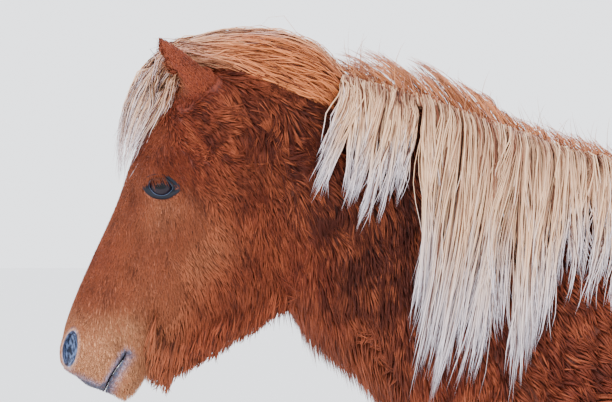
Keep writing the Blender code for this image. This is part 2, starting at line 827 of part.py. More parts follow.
def add_nostril(head, side):
    """A nostril with its swollen rim."""
    for place, size, operation in (
        (NOSTRIL_RIM, NOSTRIL_RIM_SIZE, "UNION"),
        (NOSTRIL_HOLE, NOSTRIL_HOLE_SIZE, "DIFFERENCE"),
    ):
        u, v, y, turn = place
        shape = scaled_ball("nostril", head_frame(u, v, side * y, turn), size, NOSTRIL_SIDES)
        head = fitted(head, operation, shape)
    return head


def add_mouth(head):
    """A thin slot that parts the lips, from the front of the muzzle to the corner."""
    rings = []
    for u, v in MOUTH_LINE:
        half = MOUTH_GAP * (0.25 if (u, v) == MOUTH_LINE[-1] else 0.5)
        corners = ((-half, -1), (half, -1), (half, 1), (-half, 1))
        ring = [head_point(u, v + dv, MOUTH_HALF * s) + Vector((WITHERS_X, 0, 0)) for dv, s in corners]
        rings.append(ring)
    return fitted(head, "DIFFERENCE", skinned("slot", rings))


def ear_axes(side):
    root = head_point(*EAR_ROOT[:2], side * EAR_ROOT[2]) + Vector((WITHERS_X, 0, 0))
    tip = head_point(*EAR_TIP[:2], side * EAR_TIP[2]) + Vector((WITHERS_X, 0, 0))
    up = (tip - root).normalized()
    opening = Vector((EAR_OPENING[0], side * EAR_OPENING[1], EAR_OPENING[2]))
    opening = (opening - up * opening.dot(up)).normalized()
    return root, tip, up, opening, up.cross(opening)


def ear_rings(side, grow=0.0, cup=False, sides=12):
    """Rings of points up an ear, or up the hollow of its cup."""
    root, tip, up, opening, across = ear_axes(side)
    rings = []
    for t, half, depth, forward, share in EAR:
        if cup and share == 0.0:
            continue
        size = share if cup else 1.0
        shift = forward + depth * EAR_CUP_SHIFT if cup else 0.0
        deep = depth * size * (EAR_CUP_DEPTH if cup else 1.0) + grow
        centre = root.lerp(tip, t) + opening * shift
        if not rings:
            centre -= up * grow
        ring = []
        for k in range(sides):
            angle = 2 * math.pi * k / sides
            ring.append(
                centre
                + across * math.cos(angle) * (half * size + grow)
                + opening * math.sin(angle) * deep
            )
        rings.append(ring)
    return rings


def make_ear(side):
    """An ear with its cup hollowed out."""
    tip = ear_axes(side)[1]
    outer = skinned(f"{SIDES[side]}_ear", ear_rings(side), end_point=tip)
    cup = skinned("cup", ear_rings(side, cup=True))
    return fitted(outer, "DIFFERENCE", cup)


def ear_socket(side):
    """The space an ear takes, its cup filled, with the gap all round."""
    tip, up = ear_axes(side)[1:3]
    return skinned("ear_socket", ear_rings(side, grow=GAP), end_point=tip + up * 2 * GAP)


@dataclass
class Lock:
    """A flat tapered lock: points from its root to its tip, its width and its thickness."""

    path: list
    width: float
    thick: float
    facing: Vector = None
    shape: tuple = LONG_SHAPE


def outward(tree, point):
    """How far a point lies outside the flesh, the nearest point on it and its normal."""
    spot, normal, _, _ = tree.find_nearest(point)
    return (point - spot).dot(normal), spot, normal


def settled(tree, points, lift, sunk):
    """The points moved out of the flesh, with the first one sunk into it."""
    out = []
    for i, point in enumerate(points):
        depth, spot, normal = outward(tree, point)
        if i == 0:
            out.append(spot - normal * sunk)
            continue
        least = lift * min(1.0, 0.35 + 0.65 * i / 2)
        out.append(spot + normal * least if depth < least else point.copy())
    return out


def resampled(points, count):
    rows = smooth_between([tuple(p) for p in points], 6)
    dense = [Vector(row) for row in rows]
    marks = [0.0]
    for a, b in zip(dense, dense[1:]):
        marks.append(marks[-1] + (b - a).length)
    out, at = [], 0
    for k in range(count):
        want = marks[-1] * k / (count - 1)
        while at < len(marks) - 2 and marks[at + 1] < want:
            at += 1
        span = marks[at + 1] - marks[at]
        t = 0.0 if span == 0 else (want - marks[at]) / span
        out.append(dense[at].lerp(dense[at + 1], t))
    return out


def add_lock(lock, tree, into, index, grow=0.0):
    """One closed blade of four sides that runs to a point."""
    points = resampled(lock.path, len(lock.shape) + 1)
    rings = []
    facing = lock.facing or outward(tree, points[1])[2]
    for i, (point, size) in enumerate(zip(points, lock.shape)):
        along = (points[i + 1] - points[max(0, i - 1)]).normalized()
        if lock.facing is None:
            facing = (facing * 1.5 + outward(tree, point)[2]).normalized()
        normal = (facing - along * facing.dot(along)).normalized()
        across = along.cross(normal)
        wide = across * (lock.width / 2 * size + grow)
        thick = normal * (lock.thick / 2 * size + grow)
        rings.append([point - wide, point - thick, point + wide, point + thick])
    tip = points[-1] + (points[-1] - points[-2]).normalized() * 3 * grow
    return skinned(f"lock_{index}", rings, into, tip)


def fused(node, locks, tree):
    """The node with its locks grown onto it in one union."""
    group = collection("locks")
    for index, lock in enumerate(locks):
        add_lock(lock, tree, group, index)
    node = combined(node, "UNION", others=group, solver="MANIFOLD")
    bpy.data.collections.remove(group)
    largest_shell(node)
    return node


def kept_clear(node, locks, tree):
    """The node with room cut for the locks of a neighbour that lie over it."""
    group = collection("room")
    for index, lock in enumerate(locks):
        add_lock(lock, tree, group, index, ROOM_ROUND_LOCK)
    node = combined(node, "DIFFERENCE", others=group, solver="MANIFOLD")
    bpy.data.collections.remove(group)
    largest_shell(node)
    return node


def in_row(x, y, z):
    return Vector((x + WITHERS_X, y, z))


def crest_height(x):
    line = [(row[0], row[1]) for row in NECK]
    for (x0, z0), (x1, z1) in zip(line, line[1:]):
        if x <= x1:
            return z0 + (z1 - z0) * (x - x0) / (x1 - x0)
    return line[-1][1]


def table_at(table, t):
    """The row of a table at a share of its length, in between where it has to be."""
    at = min(len(table) - 1.0001, max(0.0, t * (len(table) - 1)))
    low = int(at)
    return [a + (b - a) * (at - low) for a, b in zip(table[low], table[low + 1])]


def hung(tree, root_x, tip_x, tip_z, side, lift):
    """A path from the crest over and down one side of the neck, lying on the coat."""
    root = in_row(root_x + 0.004, -side * 0.014, crest_height(root_x) - 0.006)
    points = [root, in_row(root_x, side * 0.004, crest_height(root_x) + lift)]
    for k in range(1, 8):
        t = k / 7
        x = root_x + (tip_x - root_x) * t**1.25
        z = root.z + 0.006 + (tip_z - root.z) * t**1.1
        start = in_row(x, side * 1.0, z)
        hit, normal, _, _ = tree.ray_cast(start, Vector((0, -side, 0)))
        if hit is None or hit.y * side < 0.01:
            points.append(in_row(x, side * (0.012 + 0.05 * t), z + lift))
        else:
            points.append(hit + normal * lift)
    return settled(tree, points, lift, ROOT_SUNK)


def mane_locks(tree, rng):
    """The locks of the near side, the far side and the tufts that stand on the crest."""
    out = []
    for i in range(MANE_LOCKS):
        t = (i + 0.5) / MANE_LOCKS
        root_x, tip_x, tip_z = table_at(MANE, t)
        lift = MANE_LIFT * (1.0 + 0.8 * (i % 3))
        path = hung(
            tree,
            root_x + rng.uniform(-1, 1) * 0.010,
            tip_x + rng.uniform(-1, 1) * 0.014,
            tip_z + rng.uniform(-1, 1) * 0.030,
            -1,
            lift,
        )
        out.append(Lock(path, MANE_WIDTH * rng.uniform(0.75, 1.1), MANE_THICK))
    for i in range(FAR_LOCKS):
        t = (i + 0.5) / FAR_LOCKS
        root_x = table_at(MANE, t)[0]
        drop = FAR_DROP * (0.75 + 0.25 * math.sin(7 * t)) * rng.uniform(0.8, 1)
        path = hung(
            tree,
            root_x,
            root_x - 0.030 + rng.uniform(-1, 1) * 0.02,
            crest_height(root_x) - drop,
            1,
            MANE_LIFT * (1.0 + 0.8 * (i % 3)),
        )
        out.append(Lock(path, FAR_WIDTH, MANE_THICK))
    for i in range(CREST_TUFTS):
        t = (i + 0.5) / CREST_TUFTS
        x = CREST_SPAN[0] + (CREST_SPAN[1] - CREST_SPAN[0]) * t
        z = crest_height(x)
        high = CREST_HIGH + rng.uniform(-0.010, 0.026)
        side = 1 if i % 3 else -1
        path = [in_row(x - 0.040, side * 0.002, z - 0.010)]
        for step, rise in ((0.0, 0.34), (0.032, 0.72), (0.064, 1.0), (0.092, 1.12)):
            up = crest_height(x + step) + high * rise
            path.append(in_row(x + step, side * (0.008 + 0.30 * step), up))
        out.append(Lock(path, TUFT_WIDTH, MANE_THICK, Vector((0.0, 1.0, 0.0))))
    return out


def crown_lock(tree, table, share, reach, depth):
    """A lock of the forelock or the poll.

    share runs from the middle (0) to a side (1 or -1), reach is how much of the path it covers
    and depth how far it lies from the outside (0) towards the skin (1).
    """
    away = abs(share)
    points = []
    for k, (mx, mz, sx, sz) in enumerate(table):
        t = k / (len(table) - 1)
        if t > reach:
            break
        near, wide = CROWN_SPREAD
        y = share * (near + (wide - near) * min(1.0, t * 2.2))
        point = in_row(mx + (sx - mx) * away, y, mz + (sz - mz) * away)
        spot, normal = outward(tree, point)[1:]
        points.append(point.lerp(spot + normal * 0.008, depth))
    return Lock(settled(tree, points, MANE_LIFT, ROOT_SUNK), CROWN_WIDTH, CROWN_THICK)


def head_locks(tree, rng):
    """The locks of the forelock, the poll and the beard."""
    out = []
    for table, count in ((FORELOCK, FORELOCKS), (POLL_HAIR, POLL_LOCKS)):
        for i in range(count):
            share = -1 + 2 * (i + 0.5) / count
            reach = 1.0 - rng.choice((0.0, 0.0, 0.17))
            out.append(crown_lock(tree, table, share, reach, 0.5 * (i % 2)))
    for side, count in ((0, BEARD_LOCKS), (-1, BEARD_SIDE), (1, BEARD_SIDE)):
        for i in range(count):
            t = (i + 0.5) / count
            x, z = table_at(BEARD, t)
            z += rng.uniform(0, 0.010) + abs(side) * 0.012
            y = side * (0.020 + 0.012 * t)
            root = in_row(x + 0.018, y * 1.1, z + 0.075)
            middle = in_row(x + 0.012, y * 1.2, z + 0.036)
            tip = in_row(x, y, z)
            path = settled(tree, [root, middle, tip], 0.002, 0.014)
            out.append(Lock(path, BEARD_WIDTH, BEARD_THICK, None, SHORT_SHAPE))
    return out


def dock_rings(grow=0.0, stop=None, sides=16):
    """Rings of points along the dock, up to the ring numbered stop."""
    rings = []
    rows = DOCK[:stop]
    for i, (x, z, radius) in enumerate(rows):
        ahead = DOCK[min(i + 1, len(DOCK) - 1)]
        behind = DOCK[max(i - 1, 0)]
        along = Vector((ahead[0] - behind[0], 0, ahead[1] - behind[1])).normalized()
        lift = Vector((0, 1, 0)).cross(along)
        ring = []
        for k in range(sides):
            angle = 2 * math.pi * k / sides
            around = lift * math.sin(angle) + Vector((0, 1, 0)) * math.cos(angle)
            start = along * (grow if i == 0 else 0.0)
            ring.append(in_row(x, 0, z) - start + around * (radius + grow))
        rings.append(ring)
    return rings


def tail_locks(tree, rng):
    """The locks round the tail, each from the dock down to its own tip."""
    out = []
    for i in range(TAIL_LOCKS):
        ring = i % 3
        angle = 2 * math.pi * (i * 0.618034 % 1.0)
        tip_share = 1.0 - rng.uniform(0.0, 0.22) - 0.04 * ring
        first = 0.10 * ring + rng.uniform(0, 0.08)
        inward = 1.0 - 0.16 * (i % 2)
        points = []
        for k in range(8):
            t = first + (tip_share - first) * k / 7
            x, z, spread_x, spread_y = table_at(TAIL_HAIR, t)
            grow = min(1.0, 0.35 + 0.65 * k / 2.0) * inward
            points.append(
                in_row(x + math.cos(angle) * spread_x * grow, math.sin(angle) * spread_y * grow, z)
            )
        core = points[0]
        points[0] = core.lerp(in_row(table_at(TAIL_HAIR, first)[0], 0, core.z), 0.6)
        kept = [points[0]]
        for point in points[1:]:
            depth, spot, normal = outward(tree, point)
            kept.append(spot + normal * TAIL_LIFT if depth < TAIL_LIFT else point)
        out.append(Lock(kept, TAIL_WIDTH * rng.uniform(0.8, 1.1), TAIL_THICK))
    return out


def feather_locks(tree, which, side, rng):
    """The locks behind one fetlock."""
    (rx, rz), (tx, tz) = FETLOCK[which]
    y = side * FOOT_APART[which]
    shift = stance_shift(which, side, rz)
    out = []
    for i in range(FEATHER_LOCKS):
        angle = math.radians(FEATHER_ARC * ((i + 0.5) / FEATHER_LOCKS - 0.5))
        reach = 0.026 * math.cos(angle)
        wide = math.sin(angle)
        drop = rng.uniform(0, 0.012)
        points = [
            in_row(rx + shift - 0.024 + reach, y + wide * 0.024, rz + 0.020),
            in_row(rx + shift - 0.010 + reach, y + wide * 0.044, rz - 0.022),
            in_row(rx + shift - 0.008 + reach, y + wide * 0.050, (rz + tz) / 2),
            in_row(tx + shift - 0.010 + reach * 0.5, y + wide * 0.044, tz + drop),
        ]
        path = settled(tree, points, 0.006, 0.010)
        out.append(Lock(path, FEATHER_WIDTH, FEATHER_THICK, None, SHORT_SHAPE))
    return out


def thinned(obj, name, share):
    """A copy of obj with a share of its triangles."""
    fewer = obj.modifiers.new("fewer", "DECIMATE")
    fewer.ratio = share
    made = applied(obj, name)
    obj.modifiers.remove(fewer)
    return made


def skin_tree(objects):
    bm = bmesh.new()
    for obj in objects:
        bm.from_mesh(obj.data)
    tree = BVHTree.FromBMesh(bm)
    bm.free()
    return tree


def material(name, hex_colour, roughness):
    """A plain Principled material from an sRGB colour."""
    parts = [int(hex_colour[i : i + 2], 16) / 255 for i in (0, 2, 4)]
    linear = [c / 12.92 if c <= 0.04045 else ((c + 0.055) / 1.055) ** 2.4 for c in parts]
    made = bpy.data.materials.new(name)
    made.use_nodes = True
    shader = made.node_tree.nodes["Principled BSDF"]
    shader.inputs["Base Color"].default_value = (*linear, 1.0)
    shader.inputs["Roughness"].default_value = roughness
    shader.inputs["Metallic"].default_value = 0.0
    made.diffuse_color = (*linear, 1.0)
    return made


def finish(obj, look, home):
    """Gives a piece its material, its own origin and its parent."""
    obj.data.materials.clear()
    obj.data.materials.append(look)
    box = [Vector(corner) for corner in obj.bound_box]
    middle = sum(box, Vector()) / 8
    obj.data.transform(Matrix.Translation(-middle))
    obj.location = middle
    obj.parent = home
    obj.data.shade_smooth()
    obj.data.set_sharp_from_angle(angle=math.radians(35))


def build_legs(torso, tree, rng):
    """The legs cut from the torso, each in two pieces with its feather. Returns torso and legs."""
    legs = []
    for which in ("fore", "hind"):
        for side in SIDES:
            leg = combined(copied(torso, "leg"), "INTERSECT", leg_space(which, side, GAP))
            torso = combined(torso, "DIFFERENCE", leg_space(which, side, 0.0))
            largest_shell(leg)
            at, normal = coronet_plane(which, side)
            leg = swapped(leg, halved(leg, "leg", at, normal))
            joint = KNEE_CUT if which == "fore" else HOCK_CUT
            upper = "forearm" if which == "fore" else "thigh"
            names = (f"{SIDES[side]}_{upper}", f"{SIDES[side]}_{which}_cannon")
            above, below = parted(leg, Vector((0, 0, joint)), Vector((0, 0, 1)), *names)
            largest_shell(below)
            below = fused(below, feather_locks(tree, which, side, rng), tree)
            legs += [above, below]
    return torso, legs


def dress(pieces, hooves, eyes):
    """Gives every piece its material and its parent."""
    home = bpy.data.objects.new("horse", None)
    bpy.context.scene.collection.objects.link(home)
    coat = material("winter_coat", "8A4A2B", 0.75)
    horn = material("hoof_horn", "4B4038", 0.55)
    glass = material("eye_gloss", "14161C", 0.08)
    for look, objects in ((coat, pieces), (horn, hooves), (glass, eyes)):
        for obj in objects:
            finish(obj, look, home)


def main():
    clear_scene()
    rng = random.Random(SEED)
    flesh = make_flesh()
    whole = thinned(flesh, "whole", BODY_SHARE)
    fine_whole = thinned(flesh, "fine_whole", HEAD_SHARE)
    bpy.data.objects.remove(flesh, do_unlink=True)

    hooves = [make_hoof(which, side) for which in ("fore", "hind") for side in SIDES]
    ears = [make_ear(side) for side in SIDES]
    tree = skin_tree([fine_whole, *hooves, *ears])

    at, normal = profile_plane(*JAW_CUT)
    head = halved(fine_whole, "head", at + normal * (GAP / 2), normal)
    rest = halved(whole, "rest", at - normal * (GAP / 2), -normal)
    bpy.data.objects.remove(whole, do_unlink=True)
    bpy.data.objects.remove(fine_whole, do_unlink=True)
    at, normal = profile_plane(*SHOULDER_CUT)
    neck, torso = parted(rest, at, normal, "neck", "torso")

    torso, legs = build_legs(torso, tree, rng)
    torso = combined(torso, "DIFFERENCE", skinned("tail_socket", dock_rings(GAP, 5)))
    tail_hair = tail_locks(tree, rng)
    tail = fused(skinned("tail", dock_rings()), tail_hair, tree)
    largest_shell(torso)

    eyes = []
    for side in SIDES:
        head, eye = add_eye(head, tree, side)
        eyes.append(eye)
        head = add_nostril(head, side)
    head = add_mouth(head)
    crown = head_locks(tree, rng)
    head = fused(head, crown, tree)
    for side in SIDES:
        head = fitted(head, "DIFFERENCE", ear_socket(side))
    largest_shell(head)
    mane = mane_locks(tree, rng)
    neck = kept_clear(fused(neck, mane, tree), crown, tree)
    torso = kept_clear(torso, mane + tail_hair, tree)

    dress([head, neck, torso, tail, *ears, *legs], hooves, eyes)


main()
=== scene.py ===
"""The looks of a life-size Icelandic horse that stands still in its winter coat.

One skin replaces the solids' flesh and lies under the coat by the depth of its hair. Tufts of short
hair, the long hair, lids, eyes and hooves are meshes over it. The horse faces -X, its left side is
-Y and +Z is up, in metres. Profile places are given as x back from the withers and z up from the
ground, and WITHERS_X moves them to the frame.
"""

import logging
import math
from dataclasses import dataclass, field
from enum import Enum

import bmesh
import bpy
import numpy as np
from mathutils import Matrix, Vector
from mathutils.bvhtree import BVHTree


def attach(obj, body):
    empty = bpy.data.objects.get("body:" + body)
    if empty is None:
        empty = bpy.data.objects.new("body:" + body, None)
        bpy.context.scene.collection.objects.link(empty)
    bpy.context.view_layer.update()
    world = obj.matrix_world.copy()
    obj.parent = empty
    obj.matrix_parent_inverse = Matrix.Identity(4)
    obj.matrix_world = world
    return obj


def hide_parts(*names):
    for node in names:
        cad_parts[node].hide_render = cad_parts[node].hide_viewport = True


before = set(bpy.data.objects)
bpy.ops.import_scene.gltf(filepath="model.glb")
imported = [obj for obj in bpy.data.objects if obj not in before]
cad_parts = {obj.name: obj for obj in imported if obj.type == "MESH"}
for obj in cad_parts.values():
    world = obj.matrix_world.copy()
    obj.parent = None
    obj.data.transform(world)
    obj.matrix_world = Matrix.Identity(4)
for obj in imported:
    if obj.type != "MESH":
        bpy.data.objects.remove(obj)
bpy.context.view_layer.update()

LOG = logging.getLogger("icelandic_horse")
SEED = 11
WITHERS_X = -0.116
POLL = (-0.667, 1.566)
HEAD_LEAN = math.radians(24.7)
TRIANGLES_A_PIECE = 190_000


class Side(Enum):
    """A side of the horse, by the sign of Y."""

    LEFT = -1
    RIGHT = 1

    @property
    def word(self) -> str:
        """The side's name in the names of pieces."""
        return self.name.lower()


class Limb(Enum):
    """The two kinds of leg, with how wide apart their feet stand."""

    FORE = 0.142
    HIND = 0.147

    @property
    def word(self) -> str:
        """The limb's name in the names of pieces."""
        return self.name.lower()


class Sheath(Enum):
    """The kinds of hair, by the share of a tuft's length that its tip stands off the skin."""

    FLAT = 0.21
    HANGING = 0.62


def smoothstep(low: float, high: float, value: np.ndarray) -> np.ndarray:
    """0 below low, 1 above high and a smooth rise between them."""
    t = np.clip((value - low) / (high - low), 0.0, 1.0)
    return t * t * (3.0 - 2.0 * t)


def unit(rows: np.ndarray) -> np.ndarray:
    """Rows of vectors, each made one long."""
    length = np.linalg.norm(rows, axis=-1, keepdims=True)
    return rows / np.maximum(length, 1e-9)


def ripple(points: np.ndarray, wavelength: float, rng: np.random.Generator) -> np.ndarray:
    """A smooth random value between about -1 and 1 that varies over a wavelength in metres.

    Args:
        points: rows of places.
        wavelength: the distance over which the value comes and goes.
        rng: the source of its random directions.

    Returns:
        One value for each row.
    """
    total = np.zeros(len(points))
    for _ in range(5):
        way = unit(rng.normal(size=3)) * (2 * math.pi / wavelength) * rng.uniform(0.7, 1.4)
        total += np.sin(points @ way + rng.uniform(0, 2 * math.pi))
    return total / 2.6


def head_point(u: float, v: float, y: float = 0.0) -> Vector:
    """The place u down the face from the poll and v back from the head's axis, in the frame."""
    down = Vector((-math.sin(HEAD_LEAN), 0, -math.cos(HEAD_LEAN)))
    back = Vector((math.cos(HEAD_LEAN), 0, -math.sin(HEAD_LEAN)))
    return Vector((POLL[0] + WITHERS_X, y, POLL[1])) + down * u + back * v


def head_uv(points: np.ndarray) -> tuple[np.ndarray, np.ndarray]:
    """How far rows of places lie down the face from the poll and back from the head's axis."""
    x = points[:, 0] - WITHERS_X - POLL[0]
    z = points[:, 2] - POLL[1]
    s, c = math.sin(HEAD_LEAN), math.cos(HEAD_LEAN)
    return -x * s - z * c, x * c - z * s


def head_frame(u: float, v: float, y: float, turn: float = 0.0) -> Matrix:
    """Axes at a place of the head: back across the profile, sideways and up the face."""
    place = Matrix.Translation(head_point(u, v, y))
    return place @ Matrix.Rotation(HEAD_LEAN + math.radians(turn), 4, "Y")


def in_frame(x: float, y: float, z: float) -> Vector:
    """A profile place as a vector of the frame."""
    return Vector((x + WITHERS_X, y, z))


def smooth_between(rows: np.ndarray, steps: int) -> np.ndarray:
    """Catmull-Rom values through rows, with steps to each interval."""
    rows = np.asarray(rows, float)
    ends = np.vstack([rows[:1], rows, rows[-1:]])
    p0, p1, p2, p3 = ends[:-3], ends[1:-2], ends[2:-1], ends[3:]
    t = (np.arange(steps) / steps)[None, :, None]
    p0, p1, p2, p3 = (p[:, None, :] for p in (p0, p1, p2, p3))
    curve = 0.5 * (
        2 * p1
        + (p2 - p0) * t
        + (2 * p0 - 5 * p1 + 4 * p2 - p3) * t**2
        + (3 * p1 - p0 - 3 * p2 + p3) * t**3
    )
    return np.vstack([curve.reshape(-1, rows.shape[1]), rows[-1:]])


def mesh_from(name: str, points: np.ndarray, triangles: np.ndarray) -> bpy.types.Mesh:
    """A smooth-shaded mesh from rows of points and rows of three point numbers."""
    mesh = bpy.data.meshes.new(name)
    mesh.vertices.add(len(points))
    mesh.vertices.foreach_set("co", points.astype(np.float32).ravel())
    mesh.loops.add(3 * len(triangles))
    mesh.loops.foreach_set("vertex_index", triangles.astype(np.int32).ravel())
    mesh.polygons.add(len(triangles))
    mesh.polygons.foreach_set("loop_start", np.arange(0, 3 * len(triangles), 3, dtype=np.int32))
    mesh.update(calc_edges=True)
    mesh.shade_smooth()
    return mesh


def new_object(name: str, mesh: bpy.types.Mesh) -> bpy.types.Object:
    """An object of the scene that shows mesh."""
    obj = bpy.data.objects.new(name, mesh)
    bpy.context.scene.collection.objects.link(obj)
    return obj


def give_values(mesh: bpy.types.Mesh, values: dict[str, np.ndarray]) -> None:
    """Stores one number a point under each name, for the finish to read."""
    for name, numbers in values.items():
        made = mesh.attributes.new(name, "FLOAT", "POINT")
        made.data.foreach_set("value", np.asarray(numbers, np.float32))


def arrays_of(mesh: bpy.types.Mesh) -> tuple[np.ndarray, np.ndarray, np.ndarray]:
    """The points, point normals and triangles of a mesh."""
    points = np.empty(3 * len(mesh.vertices), np.float32)
    mesh.vertices.foreach_get("co", points)
    normals = np.empty(3 * len(mesh.vertices), np.float32)
    mesh.vertex_normals.foreach_get("vector", normals)
    mesh.calc_loop_triangles()
    triangles = np.empty(3 * len(mesh.loop_triangles), np.int32)
    mesh.loop_triangles.foreach_get("vertices", triangles)
    shape = (-1, 3)
    return points.reshape(shape).astype(float), normals.reshape(shape).astype(float), triangles.reshape(shape)


def lofted(name: str, rings: list, tip: Vector | None = None) -> bpy.types.Object:
    """A closed surface over rings of equal count, with a face or a tip point at its end.

    Args:
        name: the object's name.
        rings: lists of points, from the first end to the last.
        tip: the point that closes the last ring, if it comes to one.

    Returns:
        The new object.
    """
    bm = bmesh.new()
    made = [[bm.verts.new(p) for p in ring] for ring in rings]
    sides = len(made[0])
    for first, second in zip(made, made[1:]):
        for k in range(sides):
            n = (k + 1) % sides
            bm.faces.new((first[k], first[n], second[n], second[k]))
    bm.faces.new(reversed(made[0]))
    if tip is None:
        bm.faces.new(made[-1])
    else:
        end = bm.verts.new(tip)
        for k in range(sides):
            bm.faces.new((made[-1][k], made[-1][(k + 1) % sides], end))
    bmesh.ops.recalc_face_normals(bm, faces=bm.faces)
    mesh = bpy.data.meshes.new(name)
    bm.to_mesh(mesh)
    bm.free()
    return new_object(name, mesh)


def applied(obj: bpy.types.Object, name: str) -> bpy.types.Object:
    """A new object with the modifiers of obj applied. The old one is removed."""
    graph = bpy.context.evaluated_depsgraph_get()
    mesh = bpy.data.meshes.new_from_object(obj.evaluated_get(graph))
    bpy.data.objects.remove(obj, do_unlink=True)
    mesh.name = name
    return new_object(name, mesh)


def cut_by(obj: bpy.types.Object, other: bpy.types.Object, operation: str) -> bpy.types.Object:
    """obj after a Boolean operation with a closed object, which is then removed."""
    change = obj.modifiers.new("change", "BOOLEAN")
    change.operation = operation
    change.solver = "MANIFOLD"
    change.object = other
    made = applied(obj, obj.name)
    bpy.data.objects.remove(other, do_unlink=True)
    return made


def ball(name: str, place: Matrix, radii: tuple, sides: tuple = (24, 16)) -> bpy.types.Object:
    """An ellipsoid with the given half sizes along the axes of place."""
    bm = bmesh.new()
    bmesh.ops.create_uvsphere(bm, u_segments=sides[0], v_segments=sides[1], radius=1.0)
    bm.transform(place @ Matrix.Diagonal((*radii, 1.0)))
    mesh = bpy.data.meshes.new(name)
    bm.to_mesh(mesh)
    bm.free()
    return new_object(name, mesh)


@dataclass(frozen=True)
class Section:
    """One slice of a body mass: two ends of its profile, half its width and how it is rounded."""

    ax: float
    az: float
    bx: float
    bz: float
    half: float
    y: float = 0.0
    widest: float = 0.5
    round_a: float = 2.0
    round_b: float = 2.0

    def row(self) -> tuple:
        """The numbers of the slice, for values in between."""
        return (
            self.ax, self.az, self.bx, self.bz, self.half,
            self.y, self.widest, self.round_a, self.round_b,
        )

    def ring(self, sides: int) -> list[Vector]:
        """The points round the slice.

        Args:
            sides: how many points.

        Returns:
            The points, in the frame.
        """
        a = in_frame(self.ax, 0.0, self.az)
        b = in_frame(self.bx, 0.0, self.bz)
        out = []
        for k in range(sides):
            angle = 2 * math.pi * k / sides
            c, s = math.cos(angle), math.sin(angle)
            power = 2 / (self.round_a if c >= 0 else self.round_b)
            reach = self.widest if c >= 0 else 1 - self.widest
            point = a.lerp(b, self.widest - reach * math.copysign(abs(c) ** power, c))
            point.y = self.y + self.half * math.copysign(abs(s) ** power, s)
            out.append(point)
        return out


